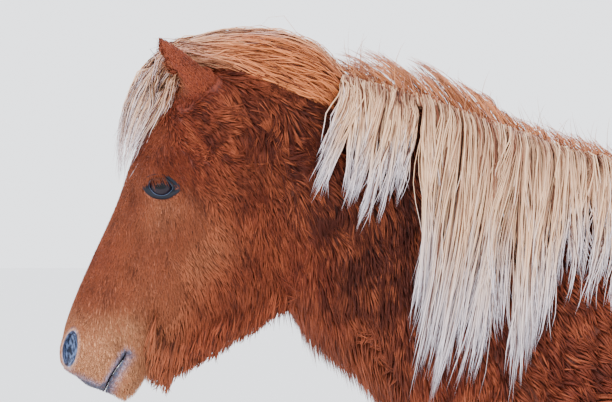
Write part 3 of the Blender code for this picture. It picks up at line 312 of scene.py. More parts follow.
@dataclass
class Body:
    """The masses of the horse, on the outside of its coat, as the frame's solids have them."""

    # x, top, bottom, half width, widest share, top roundness, bottom roundness
    trunk: tuple = (
        (-0.402, 1.020, 0.900, 0.050, 0.50, 2.0, 2.0),
        (-0.380, 1.110, 0.830, 0.118, 0.50, 2.0, 2.0),
        (-0.330, 1.200, 0.770, 0.172, 0.52, 2.0, 2.1),
        (-0.220, 1.300, 0.728, 0.208, 0.58, 1.8, 2.2),
        (-0.100, 1.358, 0.710, 0.230, 0.60, 1.7, 2.2),
        (0.000, 1.380, 0.700, 0.246, 0.62, 1.65, 2.2),
        (0.120, 1.362, 0.690, 0.268, 0.60, 1.80, 2.2),
        (0.280, 1.325, 0.685, 0.288, 0.58, 2.0, 2.2),
        (0.420, 1.310, 0.690, 0.293, 0.56, 2.1, 2.2),
        (0.560, 1.325, 0.715, 0.282, 0.54, 2.1, 2.1),
        (0.700, 1.348, 0.762, 0.262, 0.50, 2.1, 2.1),
        (0.820, 1.340, 0.805, 0.244, 0.45, 2.1, 2.0),
        (0.920, 1.300, 0.840, 0.218, 0.45, 2.0, 2.0),
        (0.990, 1.240, 0.880, 0.165, 0.45, 2.0, 2.0),
        (1.030, 1.165, 0.940, 0.090, 0.50, 2.0, 2.0),
    )
    # crest x and z, underline x and z, half width, widest share
    neck: tuple = (
        (-0.690, 1.512, -0.640, 1.250, 0.050, 0.50),
        (-0.610, 1.556, -0.598, 1.160, 0.084, 0.52),
        (-0.518, 1.538, -0.556, 1.120, 0.092, 0.58),
        (-0.400, 1.504, -0.503, 1.076, 0.101, 0.62),
        (-0.285, 1.462, -0.460, 1.026, 0.120, 0.62),
        (-0.167, 1.420, -0.424, 0.972, 0.145, 0.62),
        (-0.050, 1.388, -0.372, 0.905, 0.172, 0.60),
        (0.060, 1.358, -0.280, 0.845, 0.190, 0.60),
    )
    # down the face, front and back across it, half width, widest share, front and back roundness
    head: tuple = (
        (-0.015, 0.000, 0.190, 0.055, 0.45, 2.2, 2.0),
        (0.030, -0.052, 0.214, 0.078, 0.40, 2.4, 2.0),
        (0.080, -0.083, 0.222, 0.086, 0.38, 2.6, 2.0),
        (0.130, -0.098, 0.222, 0.090, 0.37, 2.8, 2.0),
        (0.180, -0.104, 0.218, 0.091, 0.36, 2.8, 2.0),
        (0.232, -0.101, 0.220, 0.088, 0.36, 2.8, 2.0),
        (0.290, -0.096, 0.212, 0.079, 0.38, 2.6, 2.0),
        (0.350, -0.096, 0.182, 0.068, 0.40, 2.5, 2.0),
        (0.410, -0.096, 0.136, 0.058, 0.42, 2.4, 2.0),
        (0.460, -0.094, 0.094, 0.052, 0.42, 2.3, 2.1),
        (0.500, -0.089, 0.066, 0.049, 0.42, 2.2, 2.1),
        (0.528, -0.077, 0.058, 0.047, 0.42, 2.1, 2.1),
        (0.547, -0.058, 0.047, 0.039, 0.45, 2.0, 2.0),
        (0.558, -0.033, 0.030, 0.025, 0.50, 2.0, 2.0),
    )
    # front x and z, back x and z, half width, distance from the middle
    fore_leg: tuple = (
        (-0.330, 1.050, -0.020, 1.020, 0.060, 0.165),
        (-0.275, 0.920, 0.005, 0.900, 0.072, 0.172),
        (-0.225, 0.820, 0.005, 0.810, 0.070, 0.168),
        (-0.200, 0.730, -0.025, 0.730, 0.060, 0.160),
        (-0.184, 0.630, -0.052, 0.630, 0.052, 0.154),
        (-0.172, 0.530, -0.068, 0.530, 0.046, 0.149),
        (-0.173, 0.450, -0.066, 0.450, 0.050, 0.146),
        (-0.173, 0.405, -0.063, 0.405, 0.050, 0.145),
        (-0.160, 0.360, -0.070, 0.360, 0.042, 0.144),
        (-0.152, 0.310, -0.074, 0.310, 0.036, 0.143),
        (-0.150, 0.240, -0.072, 0.240, 0.034, 0.142),
        (-0.155, 0.190, -0.064, 0.185, 0.039, 0.142),
        (-0.164, 0.160, -0.062, 0.148, 0.043, 0.142),
        (-0.180, 0.127, -0.088, 0.102, 0.040, 0.142),
        (-0.200, 0.092, -0.108, 0.058, 0.049, 0.142),
        (-0.206, 0.076, -0.112, 0.042, 0.050, 0.142),
    )
    hind_leg: tuple = (
        (0.660, 1.160, 0.980, 1.180, 0.095, 0.125),
        (0.630, 1.020, 1.020, 1.060, 0.112, 0.148),
        (0.622, 0.910, 0.995, 0.950, 0.108, 0.158),
        (0.642, 0.815, 0.960, 0.870, 0.094, 0.162),
        (0.695, 0.710, 0.948, 0.790, 0.076, 0.160),
        (0.768, 0.620, 0.970, 0.700, 0.060, 0.156),
        (0.840, 0.545, 1.008, 0.625, 0.049, 0.152),
        (0.888, 0.488, 1.042, 0.570, 0.049, 0.150),
        (0.908, 0.430, 1.030, 0.480, 0.047, 0.150),
        (0.918, 0.370, 1.015, 0.400, 0.040, 0.149),
        (0.925, 0.300, 1.005, 0.320, 0.036, 0.148),
        (0.925, 0.230, 1.002, 0.245, 0.035, 0.147),
        (0.918, 0.185, 1.006, 0.187, 0.040, 0.147),
        (0.908, 0.160, 1.008, 0.150, 0.044, 0.147),
        (0.888, 0.127, 0.980, 0.102, 0.040, 0.147),
        (0.866, 0.092, 0.958, 0.058, 0.049, 0.147),
        (0.859, 0.076, 0.952, 0.044, 0.050, 0.147),
    )
    # name, x, y, z, half sizes and the turn about Y in degrees
    muscles: tuple = (
        ("upper_arm", -0.165, 0.150, 0.945, (0.140, 0.075, 0.130), 20),
        ("breast", -0.325, 0.080, 0.960, (0.090, 0.085, 0.140), 0),
        ("haunch", 0.820, 0.120, 1.080, (0.190, 0.128, 0.190), 10),
        ("stifle", 0.690, 0.165, 0.885, (0.080, 0.072, 0.115), -20),
    )
    # name, down the face, across it, y, half sizes and the turn about Y in degrees
    skull: tuple = (
        ("brow", 0.205, -0.058, 0.066, (0.028, 0.030, 0.056), 6),
        ("cheek", 0.262, 0.070, 0.040, (0.110, 0.046, 0.120), 0),
        ("face_crest", 0.330, -0.010, 0.050, (0.020, 0.022, 0.100), 8),
        ("nostril_swell", 0.506, -0.052, 0.030, (0.034, 0.024, 0.050), 0),
        ("upper_lip", 0.530, -0.016, 0.020, (0.026, 0.028, 0.032), 0),
        ("lower_lip", 0.528, 0.034, 0.010, (0.022, 0.030, 0.032), 0),
        ("ear_root", 0.082, -0.022, 0.046, (0.056, 0.038, 0.054), 0),
        ("nostril_rim", 0.516, -0.058, 0.040, (0.019, 0.015, 0.031), -12),
    )
    stance_top: float = 0.95
    stout: float = 1.07
    # How far each foot stands back of a square stance
    steps: dict = field(default_factory=lambda: {
        (Limb.FORE, Side.LEFT): -0.030,
        (Limb.FORE, Side.RIGHT): 0.035,
        (Limb.HIND, Side.LEFT): 0.050,
        (Limb.HIND, Side.RIGHT): -0.045,
    })

    def step(self, limb: Limb, side: Side, z: float) -> float:
        """How far a leg stands back of a square stance at a height."""
        return self.steps[limb, side] * max(0.0, 1 - z / self.stance_top)

    def leg(self, limb: Limb, side: Side) -> list[Section]:
        """The slices of one leg, set in its stance."""
        out = []
        for fx, fz, bx, bz, half, y in self.fore_leg if limb is Limb.FORE else self.hind_leg:
            low = min(1.0, max(0.0, (0.80 - fz) / 0.20))
            grow = 1.0 + (self.stout - 1.0) * low
            middle = (fx + bx) / 2
            front, back = (middle + (x - middle) * grow for x in (fx, bx))
            out.append(Section(
                front + self.step(limb, side, fz), fz,
                back + self.step(limb, side, bz), bz,
                half * grow, side.value * y,
            ))
        return out

    def mass(self, name: str, sections: list[Section], sides: int = 40, steps: int = 5) -> bpy.types.Object:
        """A closed form through slices."""
        rows = smooth_between(np.array([s.row() for s in sections]), steps)
        return lofted(name, [Section(*row).ring(sides) for row in rows])

    def masses(self) -> list[bpy.types.Object]:
        """Every form that the flesh is made of."""
        trunk = [Section(x, t, x, b, h, 0.0, w, ra, rb) for x, t, b, h, w, ra, rb in self.trunk]
        neck = [Section(cx, cz, ux, uz, h, 0.0, w, 1.75, 2.15) for cx, cz, ux, uz, h, w in self.neck]
        head = []
        for u, front, back, half, widest, ra, rb in self.head:
            a, b = head_point(u, front), head_point(u, back)
            head.append(Section(
                a.x - WITHERS_X, a.z, b.x - WITHERS_X, b.z, half, 0.0, widest, ra, rb
            ))
        made = [self.mass("trunk", trunk), self.mass("neck", neck), self.mass("head", head, steps=8)]
        crown = Matrix.Translation(in_frame(-0.640, 0.0, 1.556)) @ Matrix.Rotation(math.radians(4), 4, "Y")
        made.append(ball("crown", crown, (0.080, 0.046, 0.026), (32, 20)))
        for side in Side:
            made += [self.mass("leg", self.leg(limb, side), 32) for limb in Limb]
            for name, x, y, z, radii, turn in self.muscles:
                place = Matrix.Translation(in_frame(x, side.value * y, z))
                place = place @ Matrix.Rotation(math.radians(turn), 4, "Y")
                made.append(ball(name, place, radii, (32, 20)))
            for name, u, v, y, radii, turn in self.skull:
                made.append(ball(name, head_frame(u, v, side.value * y, turn), radii, (32, 20)))
        return made


@dataclass
class Ear:
    """One cupped ear, from its root on the skull to its tip."""

    side: Side
    root_uv: tuple = (0.098, -0.016, 0.052)
    tip_uv: tuple = (0.026, -0.139, 0.076)
    # share of the length, half width, half depth, how far the cup lies forward, its share
    shape: tuple = (
        (-0.10, 0.022, 0.026, 0.000, 0.00),
        (0.00, 0.023, 0.029, -0.002, 0.00),
        (0.14, 0.026, 0.033, -0.001, 0.45),
        (0.32, 0.029, 0.034, 0.002, 0.76),
        (0.52, 0.028, 0.030, 0.004, 0.83),
        (0.72, 0.021, 0.022, 0.004, 0.80),
        (0.88, 0.012, 0.013, 0.003, 0.68),
        (0.97, 0.005, 0.006, 0.001, 0.40),
    )
    cup_shift: float = 0.30
    cup_depth: float = 1.15

    def axes(self) -> tuple[Vector, Vector, Vector, Vector, Vector]:
        """Root, tip, and the ways up the ear, out of its opening and across it."""
        root = head_point(*self.root_uv[:2], self.side.value * self.root_uv[2])
        tip = head_point(*self.tip_uv[:2], self.side.value * self.tip_uv[2])
        up = (tip - root).normalized()
        opening = Vector((-0.96, self.side.value * 0.16, -0.18))
        opening = (opening - up * opening.dot(up)).normalized()
        return root, tip, up, opening, up.cross(opening)

    def rings(self, cup: bool, sides: int = 32) -> list:
        """Rings of the outside, or of the hollow of the cup."""
        root, tip, _, opening, across = self.axes()
        rows = smooth_between(np.array(self.shape), 3)
        out = []
        for t, half, depth, forward, share in rows:
            if cup and share < 0.2:
                continue
            size = share if cup else 1.0
            centre = root.lerp(tip, t) + opening * (forward + (depth * self.cup_shift if cup else 0.0))
            ring = []
            for k in range(sides):
                angle = 2 * math.pi * k / sides
                fold = 1.0 + 0.10 * math.cos(2 * angle)
                ring.append(
                    centre
                    + across * math.cos(angle) * half * size * fold
                    + opening * math.sin(angle) * depth * size * (self.cup_depth if cup else 1.0)
                )
            out.append(ring)
        return out

    def build(self) -> bpy.types.Object:
        """The ear as one closed form with its cup hollowed out."""
        tip = self.axes()[1]
        outer = lofted("ear", self.rings(False), tip)
        return cut_by(outer, lofted("cup", self.rings(True)), "DIFFERENCE")

    def reach(self, points: np.ndarray) -> tuple[np.ndarray, np.ndarray]:
        """How far up the ear rows of places lie, from 0 to 1, and how far from its axis in metres."""
        root, tip = self.axes()[:2]
        axis = np.array(tip - root)
        away = points - np.array(root)
        share = away @ axis / (axis @ axis)
        return share, np.linalg.norm(away - np.clip(share, 0, 1)[:, None] * axis, axis=1)

    def front(self, points: np.ndarray) -> np.ndarray:
        """How much rows of places on the ear lie at its opening, from 0 to 1."""
        root, _, up, opening, _ = self.axes()
        share = self.reach(points)[0]
        away = points - np.array(root)
        away = away - np.outer(away @ np.array(up), np.array(up))
        return smoothstep(0.006, 0.018, away @ np.array(opening)) * smoothstep(0.25, 0.50, share)


@dataclass
class CoatMap:
    """How the winter coat lies, how long and dense it is and how dark its painted shade is, all over the
    horse.

    Each row is a place of the profile that the coat is judged at. Values in between come from the
    rows around. The hair leans from straight down towards the tail by its angle in degrees.
    """

    # x, z, lean, length and spacing in mm, waviness, how dark (painted shade, most under the mane, at the
    # poll and at the throat) and how pale
    places: tuple = (
        # Forehead, bridge of the nose and muzzle
        (-0.82, 1.450, -22, 12, 2.4, 0.15, 0.30, 0.00),
        (-0.86, 1.360, -20, 10, 2.3, 0.08, 0.15, 0.08),
        (-0.90, 1.270, -18, 9, 2.3, 0.05, 0.05, 0.05),
        (-0.92, 1.200, -16, 8, 2.2, 0.05, 0.00, 0.10),
        (-0.935, 1.160, -12, 6, 2.1, 0.00, 0.00, 0.50),
        (-0.935, 1.120, -8, 4, 2.0, 0.00, 0.00, 0.95),
        (-0.90, 1.110, 6, 5, 2.1, 0.00, 0.00, 1.00),
        (-0.86, 1.150, 14, 8, 2.2, 0.05, 0.00, 0.85),
        (-0.86, 1.080, 8, 5, 2.1, 0.00, 0.00, 0.90),
        (-0.835, 1.065, 8, 7, 2.2, 0.00, 0.00, 1.00),
        # Under the eye, cheek and jaw
        (-0.795, 1.325, -2, 10, 2.3, 0.05, 0.00, 0.32),
        (-0.82, 1.270, -4, 10, 2.3, 0.05, 0.00, 0.15),
        (-0.87, 1.210, -8, 9, 2.3, 0.05, 0.00, 0.12),
        (-0.81, 1.190, 8, 14, 2.5, 0.10, 0.00, 0.22),
        (-0.77, 1.300, 14, 14, 2.5, 0.15, 0.05, 0.12),
        (-0.745, 1.270, 36, 19, 2.8, 0.45, 0.00, 0.32),
        (-0.705, 1.230, 22, 24, 3.0, 0.30, 0.25, 0.00),
        (-0.725, 1.150, 8, 30, 3.1, 0.20, 0.10, 0.05),
        (-0.79, 1.120, 6, 26, 2.9, 0.15, 0.05, 0.15),
        (-0.80, 1.075, 3, 30, 3.0, 0.10, 0.00, 0.15),
        (-0.66, 1.350, 20, 26, 3.0, 0.45, 0.45, 0.00),
        (-0.62, 1.260, 8, 32, 3.1, 0.30, 0.30, 0.00),
        (-0.665, 1.170, 2, 36, 3.2, 0.25, 0.15, 0.05),
        (-0.610, 1.195, -3, 38, 3.3, 0.25, 0.20, 0.05),
        # Behind the eye, ear root, poll and throat
        (-0.770, 1.410, 40, 15, 2.5, 0.40, 0.20, 0.00),
        (-0.715, 1.430, 58, 26, 3.0, 0.90, 0.45, 0.00),
        (-0.745, 1.476, 66, 26, 3.0, 0.90, 0.40, 0.00),
        (-0.680, 1.507, 42, 34, 3.2, 1.00, 0.55, 0.00),
        (-0.635, 1.450, 18, 38, 3.2, 1.00, 0.75, 0.00),
        (-0.590, 1.410, 36, 40, 3.3, 1.00, 0.80, 0.00),
        (-0.560, 1.476, 38, 38, 3.4, 0.90, 0.90, 0.00),
        (-0.540, 1.350, 20, 36, 3.4, 0.60, 0.90, 0.00),
        (-0.570, 1.260, 12, 36, 3.5, 0.40, 0.45, 0.00),
        (-0.510, 1.260, 10, 36, 3.6, 0.40, 0.95, 0.00),
        # Neck and breast
        (-0.430, 1.380, 12, 34, 4.2, 0.35, 1.00, 0.00),
        (-0.430, 1.250, 9, 36, 4.2, 0.30, 0.90, 0.00),
        (-0.430, 1.130, 9, 36, 4.2, 0.30, 0.70, 0.00),
        (-0.490, 1.100, 9, 36, 4.2, 0.30, 0.15, 0.05),
        (-0.380, 1.060, 12, 38, 4.2, 0.30, 0.40, 0.00),
        (-0.280, 1.200, 22, 38, 4.9, 0.40, 0.70, 0.00),
        (-0.170, 1.090, 44, 42, 5.1, 0.75, 0.55, 0.00),
        (-0.120, 1.050, 56, 44, 5.5, 0.75, 0.35, 0.00),
        (-0.330, 0.950, 14, 42, 6.2, 0.35, 0.20, 0.05),
        # Trunk and haunch
        (0.000, 1.280, 56, 42, 7.8, 0.40, 0.25, 0.00),
        (0.020, 1.000, 60, 42, 8.8, 0.40, 0.10, 0.00),
        (0.300, 1.300, 76, 40, 9.4, 0.25, 0.15, 0.00),
        (0.300, 1.000, 72, 40, 9.8, 0.25, 0.00, 0.05),
        (0.300, 0.750, 80, 52, 9.8, 0.35, 0.00, 0.25),
        (0.600, 0.850, 44, 46, 9.4, 0.40, 0.05, 0.15),
        (0.620, 1.150, 62, 40, 9.8, 0.25, 0.10, 0.00),
        (0.800, 1.300, 70, 36, 9.4, 0.25, 0.15, 0.00),
        (0.850, 1.100, 34, 36, 9.4, 0.25, 0.05, 0.00),
        (0.960, 1.000, 10, 36, 9.0, 0.25, 0.15, 0.00),
        # Legs
        (-0.120, 0.800, 8, 30, 8.0, 0.25, 0.05, 0.05),
        (-0.120, 0.600, 0, 22, 7.0, 0.20, 0.05, 0.05),
        (-0.120, 0.400, 0, 16, 5.9, 0.15, 0.10, 0.05),
        (-0.110, 0.200, 2, 16, 5.5, 0.15, 0.20, 0.10),
        (-0.150, 0.070, -8, 16, 5.1, 0.10, 0.20, 0.15),
        (0.800, 0.750, 5, 30, 8.0, 0.25, 0.05, 0.00),
        (0.900, 0.550, 10, 22, 7.0, 0.20, 0.05, 0.05),
        (0.960, 0.400, 0, 16, 5.9, 0.15, 0.10, 0.05),
        (0.960, 0.200, 2, 16, 5.5, 0.15, 0.20, 0.10),
        (0.920, 0.070, -8, 16, 5.1, 0.10, 0.20, 0.15),
    )
    reach: float = 0.035
    ear_length: float = 0.008
    ear_fringe: float = 0.012
    ear_spacing: float = 0.0025
    least_depth: float = 0.0012

    def read(self, points: np.ndarray) -> dict[str, np.ndarray]:
        """The coat's values at rows of places.

        Args:
            points: places in the frame.

        Returns:
            lean in radians, length and spacing in metres, wave, dark (painted shade) and pale from 0 to 1.
        """
        rows = np.array(self.places)
        flat = np.stack([points[:, 0] - WITHERS_X, points[:, 2]], axis=1)
        far = ((flat[:, None, :] - rows[None, :, :2]) ** 2).sum(axis=2)
        weight = 1.0 / (far + self.reach**2) ** 2.5
        weight /= weight.sum(axis=1, keepdims=True)
        lean, length, spacing, wave, dark, pale = (weight @ rows[:, 2:]).T
        return {
            "lean": np.radians(lean),
            "length": length / 1000,
            "spacing": spacing / 1000,
            "wave": wave,
            "dark": dark,
            "pale": pale,
        }

    def stand(self, normals: np.ndarray) -> np.ndarray:
        """The share of a tuft's length that its tip stands off the skin, more where it hangs."""
        under = smoothstep(0.25, 0.85, -normals[:, 2])
        return Sheath.FLAT.value + (Sheath.HANGING.value - Sheath.FLAT.value) * under


@dataclass
class FacePlaces:
    """Where the bare parts of the face lie, in the head's own measures."""

    eye: tuple = (0.232, -0.041)
    eye_depth: float = 0.0155
    eye_radius: float = 0.0205
    eye_turn: float = -24.0
    eye_bed: tuple = (0.0255, 0.0420, 0.0160)
    opening: tuple = (0.0182, 0.0136)
    lid_reach: tuple = (0.0290, 0.0195)
    nostril: tuple = (0.517, -0.065, 0.047)
    nostril_turn: float = -16.0
    nostril_size: tuple = (0.0118, 0.018, 0.0280)
    nostril_rim: float = 1.45
    mouth_front: tuple = (0.580, 0.006)
    mouth_corner: tuple = (0.483, 0.015)
    lip_width: float = 0.013
    eyes: dict = field(default_factory=dict)

    def nostril_place(self, side: Side) -> Matrix:
        """The axes in the middle of a nostril."""
        u, v, y = self.nostril
        return head_frame(u, v, side.value * y, self.nostril_turn)

    def into(self, place: Matrix, sizes: tuple, points: np.ndarray) -> np.ndarray:
        """How far rows of places lie from the middle of an ellipsoid, 1 on its surface."""
        back = np.array(place.inverted())
        local = points @ back[:3, :3].T + back[:3, 3]
        return np.linalg.norm(local / np.array(sizes), axis=1)

    def settle_eyes(self, tree: BVHTree) -> None:
        """Finds the axes in the middle of each eyeball, under the whole skin that tree holds."""
        for side in Side:
            start = head_point(*self.eye, side.value * 0.4)
            skin = tree.ray_cast(start, Vector((0, -side.value, 0)))[0]
            y = skin.y - side.value * self.eye_depth
            self.eyes[side] = head_frame(*self.eye, y, self.eye_turn)

    def lips(self, points: np.ndarray) -> np.ndarray:
        """How much rows of places belong to the grey lips, from 0 to 1."""
        u, v = head_uv(points)
        a, b = np.array(self.mouth_front), np.array(self.mouth_corner)
        way = b - a
        t = np.clip(((np.stack([u, v], 1) - a) @ way) / (way @ way), 0, 1)
        near = a + t[:, None] * way
        far = np.hypot(u - near[:, 0], v - near[:, 1])
        behind = v > near[:, 1]
        width = self.lip_width * np.where(behind, 1.25, 0.80)
        lips = 1.0 - smoothstep(0.10, 1.30, far / width)
        rim = smoothstep(0.538, 0.556, u) * (1 - smoothstep(-0.01, 0.03, v))
        return np.clip(lips + rim, 0, 1) * smoothstep(0.470, 0.486, u)

    def nostril_depth(self, points: np.ndarray) -> np.ndarray:
        """How far from the middle of the nearer nostril rows of places lie, 1 at its edge."""
        both = [self.into(self.nostril_place(s), self.nostril_size, points) for s in Side]
        return np.minimum(*both)


@dataclass
class Skin:
    """The one skin of the horse, inside the coat by the depth of its hair."""

    body: Body
    coat: CoatMap
    face: FacePlaces
    ears: dict
    voxel: float = 0.0036
    rounds: int = 200
    kept_share: float = 0.150
    mouth_gap: float = 0.0024
    points: np.ndarray = None
    normals: np.ndarray = None
    triangles: np.ndarray = None
    tree: BVHTree = None

    def on_head(self, points: np.ndarray) -> np.ndarray:
        """How much rows of places belong to the head, from 0 behind the jaw to 1."""
        line = -0.612 + WITHERS_X + (points[:, 2] - 1.375) * -0.141
        return smoothstep(-0.02, 0.02, line - points[:, 0])

    def ear_share(self, points: np.ndarray) -> np.ndarray:
        """How much rows of places belong to an ear, from 0 to 1."""
        total = np.zeros(len(points))
        for ear in self.ears.values():
            share, far = ear.reach(points)
            near = 1.0 - smoothstep(0.034, 0.044, far)
            total = np.maximum(total, near * smoothstep(0.16, 0.30, share))
        return total

    def rough(self) -> bpy.types.Object:
        """All masses grown into one closed surface, and smoothed least on head and feet."""
        parts = self.body.masses() + [ear.build() for ear in self.ears.values()]
        bm = bmesh.new()
        for part in parts:
            bm.from_mesh(part.data)
            bpy.data.objects.remove(part, do_unlink=True)
        mesh = bpy.data.meshes.new("rough")
        bm.to_mesh(mesh)
        bm.free()
        obj = new_object("rough", mesh)
        grow = obj.modifiers.new("one_surface", "REMESH")
        grow.mode = "VOXEL"
        grow.voxel_size = self.voxel
        obj = applied(obj, "rough")
        points = arrays_of(obj.data)[0]
        x = points[:, 0] - WITHERS_X
        spare = np.maximum(smoothstep(-0.60, -0.68, x), smoothstep(0.70, 0.50, points[:, 2]))
        spare = np.maximum(spare * 0.72, self.ear_share(points) * 0.95)
        self.weigh(obj, "soft", 1.0 - spare)
        relax = obj.modifiers.new("relax", "SMOOTH")
        relax.factor = 0.6
        relax.iterations = self.rounds
        relax.vertex_group = "soft"
        return applied(obj, "skin")

    def weigh(self, obj: bpy.types.Object, name: str, weights: np.ndarray) -> None:
        """Gives the points of obj weights in a vertex group, in steps of a twentieth."""
        group = obj.vertex_groups.new(name=name)
        steps = np.round(np.asarray(weights) * 20).astype(int)
        for step in np.unique(steps):
            group.add(np.flatnonzero(steps == step).tolist(), step / 20, "REPLACE")

    def inset(self, obj: bpy.types.Object) -> None:
        """Moves the surface in by the depth of the coat."""
        points, normals, _ = arrays_of(obj.data)
        values = self.coat.read(points)
        depth = values["length"] * self.coat.stand(normals)
        ear = self.ear_share(points)
        depth = depth * (1 - ear) + self.coat.least_depth * 0.4 * ear
        bare = np.maximum(self.face.lips(points), 1 - smoothstep(1.0, 1.6, self.face.nostril_depth(points)))
        depth = depth * (1 - bare) + self.coat.least_depth * 0.3 * bare
        obj.data.vertices.foreach_set("co", (points - normals * depth[:, None]).astype(np.float32).ravel())
        obj.data.update()

    def openings(self, obj: bpy.types.Object) -> bpy.types.Object:
        """Cuts the nostrils, the line of the mouth and the beds of the eyes."""
        points, _, triangles = arrays_of(obj.data)
        self.face.settle_eyes(BVHTree.FromPolygons(points.tolist(), triangles.tolist()))
        for side in Side:
            bed = ball("bed", self.face.eyes[side], self.face.eye_bed, (48, 32))
            hole = ball("hole", self.face.nostril_place(side), self.face.nostril_size)
            obj = cut_by(cut_by(obj, bed, "DIFFERENCE"), hole, "DIFFERENCE")
        rings = []
        (u0, v0), (u1, v1) = self.face.mouth_front, self.face.mouth_corner
        for k in range(7):
            t = k / 6
            half = self.mouth_gap * (0.5 if k < 6 else 0.15)
            u, v = u0 + (u1 - u0) * t, v0 + (v1 - v0) * t + 0.0016 * math.sin(9 * t)
            corners = ((-half, -0.08), (half, -0.08), (half, 0.08), (-half, 0.08))
            rings.append([head_point(u, v + dv, y) for dv, y in corners])
        return cut_by(obj, lofted("mouth", rings), "DIFFERENCE")

    def softened(self, obj: bpy.types.Object) -> bpy.types.Object:
        """Rounds the edges of the nostrils and lips."""
        points = arrays_of(obj.data)[0]
        near = self.face.nostril_depth(points)
        ring = 1.0 - smoothstep(1.05, 1.35, near)
        self.weigh(obj, "edges", np.maximum(ring, 0.6 * self.face.lips(points)))
        relax = obj.modifiers.new("relax", "SMOOTH")
        relax.factor = 0.5
        relax.iterations = 4
        relax.vertex_group = "edges"
        return applied(obj, "skin")

    def thinned(self, obj: bpy.types.Object) -> bpy.types.Object:
        """Keeps the fine surface on the head and fewer, larger triangles elsewhere."""
        points = arrays_of(obj.data)[0]
        self.weigh(obj, "plain", 1.0 - np.round(self.on_head(points)))
        fewer = obj.modifiers.new("fewer", "DECIMATE")
        fewer.vertex_group = "plain"
        fewer.ratio = self.kept_share
        return applied(obj, "skin")

    def build(self) -> bpy.types.Object:
        """The finished surface, kept here as arrays too for all that grows on it."""
        obj = self.rough()
        self.inset(obj)
        obj = self.softened(self.openings(obj))
        obj = self.thinned(obj)
        self.points, self.normals, self.triangles = arrays_of(obj.data)
        bpy.data.objects.remove(obj, do_unlink=True)
        self.tree = BVHTree.FromPolygons(self.points.tolist(), self.triangles.tolist())
        mesh = mesh_from("skin", self.points, self.triangles)
        values = self.coat.read(self.points)
        near = self.face.nostril_depth(self.points)
        give_values(mesh, {
            # dark is painted shade, kept mostly off the ears
            "dark": values["dark"] * (1 - 0.8 * self.ear_share(self.points)),
            "pale": values["pale"],
            "bare": self.face.lips(self.points),
            "deep": 1.0 - smoothstep(0.97, 1.10, near),
            "rim": 1.0 - smoothstep(1.02, 1.42, near),
        })
        skin = new_object("skin", mesh)
        Unwrap().lay_out(mesh, self.points, self.triangles)
        LOG.info("skin: %d triangles", len(self.triangles))
        return skin


@dataclass(frozen=True)
class Unwrap:
    """Lays the skin out flat for the map OFBake, each body part as a rolled-out tube in a tile."""

    margin: float = 0.012
    patch: float = 0.003

    def tile_and_angle(self, points: np.ndarray) -> tuple[np.ndarray, np.ndarray, np.ndarray]:
        """For rows of places: the number of the part, the turn round it and the share along it."""
        x, y, z = points[:, 0] - WITHERS_X, points[:, 1], points[:, 2]
        u, v = head_uv(points)
        part = np.zeros(len(points), int)
        turn = np.arctan2(y, z - 1.02)
        along = (x + 0.42) / 1.5
        neck = x < -0.20 - 0.55 * (z - 1.20)
        part[neck] = 1
        along_neck = ((-x - 0.05) * 0.86 + (z - 1.15) * 0.5) / 0.80
        turn_neck = np.arctan2(y, (z - 1.25) * 0.86 + (x + 0.40) * 0.5)
        head = x < -0.612 - (z - 1.375) * 0.141
        part[head] = 2
        legs = (z < 0.78) & (np.abs(y) > 0.04)
        for number, (limb_x, side) in enumerate(((-0.12, -1), (-0.12, 1), (0.90, -1), (0.90, 1)), 3):
            mine = legs & (y * side > 0) & ((x < 0.35) == (limb_x < 0.35))
            part[mine] = number
        on_leg = part > 2
        leg_x = np.where(x < 0.35, -0.11, 0.88)
        turn = np.where(part == 1, turn_neck, turn)
        turn = np.where(part == 2, np.arctan2(y, -(v - 0.05)), turn)
        turn = np.where(on_leg, np.arctan2(np.abs(y) - 0.147, x - leg_x), turn)
        along = np.where(part == 1, along_neck, along)
        along = np.where(part == 2, (u + 0.14) / 0.74, along)
        along = np.where(on_leg, z / 0.80, along)
        return part, turn, np.clip(along, 0, 1)

    def place(self, part: np.ndarray, turn: np.ndarray, along: np.ndarray) -> np.ndarray:
        """Map coordinates from the part's number, turn and share along."""
        column, row = part % 4, part // 4
        wide = 0.25 - 2 * self.margin
        high = 0.5 - 2 * self.margin
        across = np.clip(turn / (2 * math.pi) + 0.5, -0.02, 1.02)
        return np.stack([
            column * 0.25 + self.margin + across * wide,
            row * 0.5 + self.margin + along * high,
        ], axis=-1)

    def of(self, points: np.ndarray) -> np.ndarray:
        """Map coordinates of rows of places."""
        return self.place(*self.tile_and_angle(points))

    def lay_out(self, mesh: bpy.types.Mesh, points: np.ndarray, triangles: np.ndarray) -> None:
        """Gives a mesh the map, triangle by triangle, so that none is torn at a tube's seam."""
        middle = points[triangles].mean(axis=1)
        part, turn, _ = self.tile_and_angle(middle)
        corners = points[triangles].reshape(-1, 3)
        _, corner_turn, corner_along = self.tile_and_angle(corners)
        part, turn = np.repeat(part, 3), np.repeat(turn, 3)
        corner_turn = turn + (corner_turn - turn + math.pi) % (2 * math.pi) - math.pi
        spots = self.place(part, corner_turn, corner_along)
        layer = mesh.uv_layers.new(name="OFBake")
        layer.data.foreach_set("uv", spots.astype(np.float32).ravel())


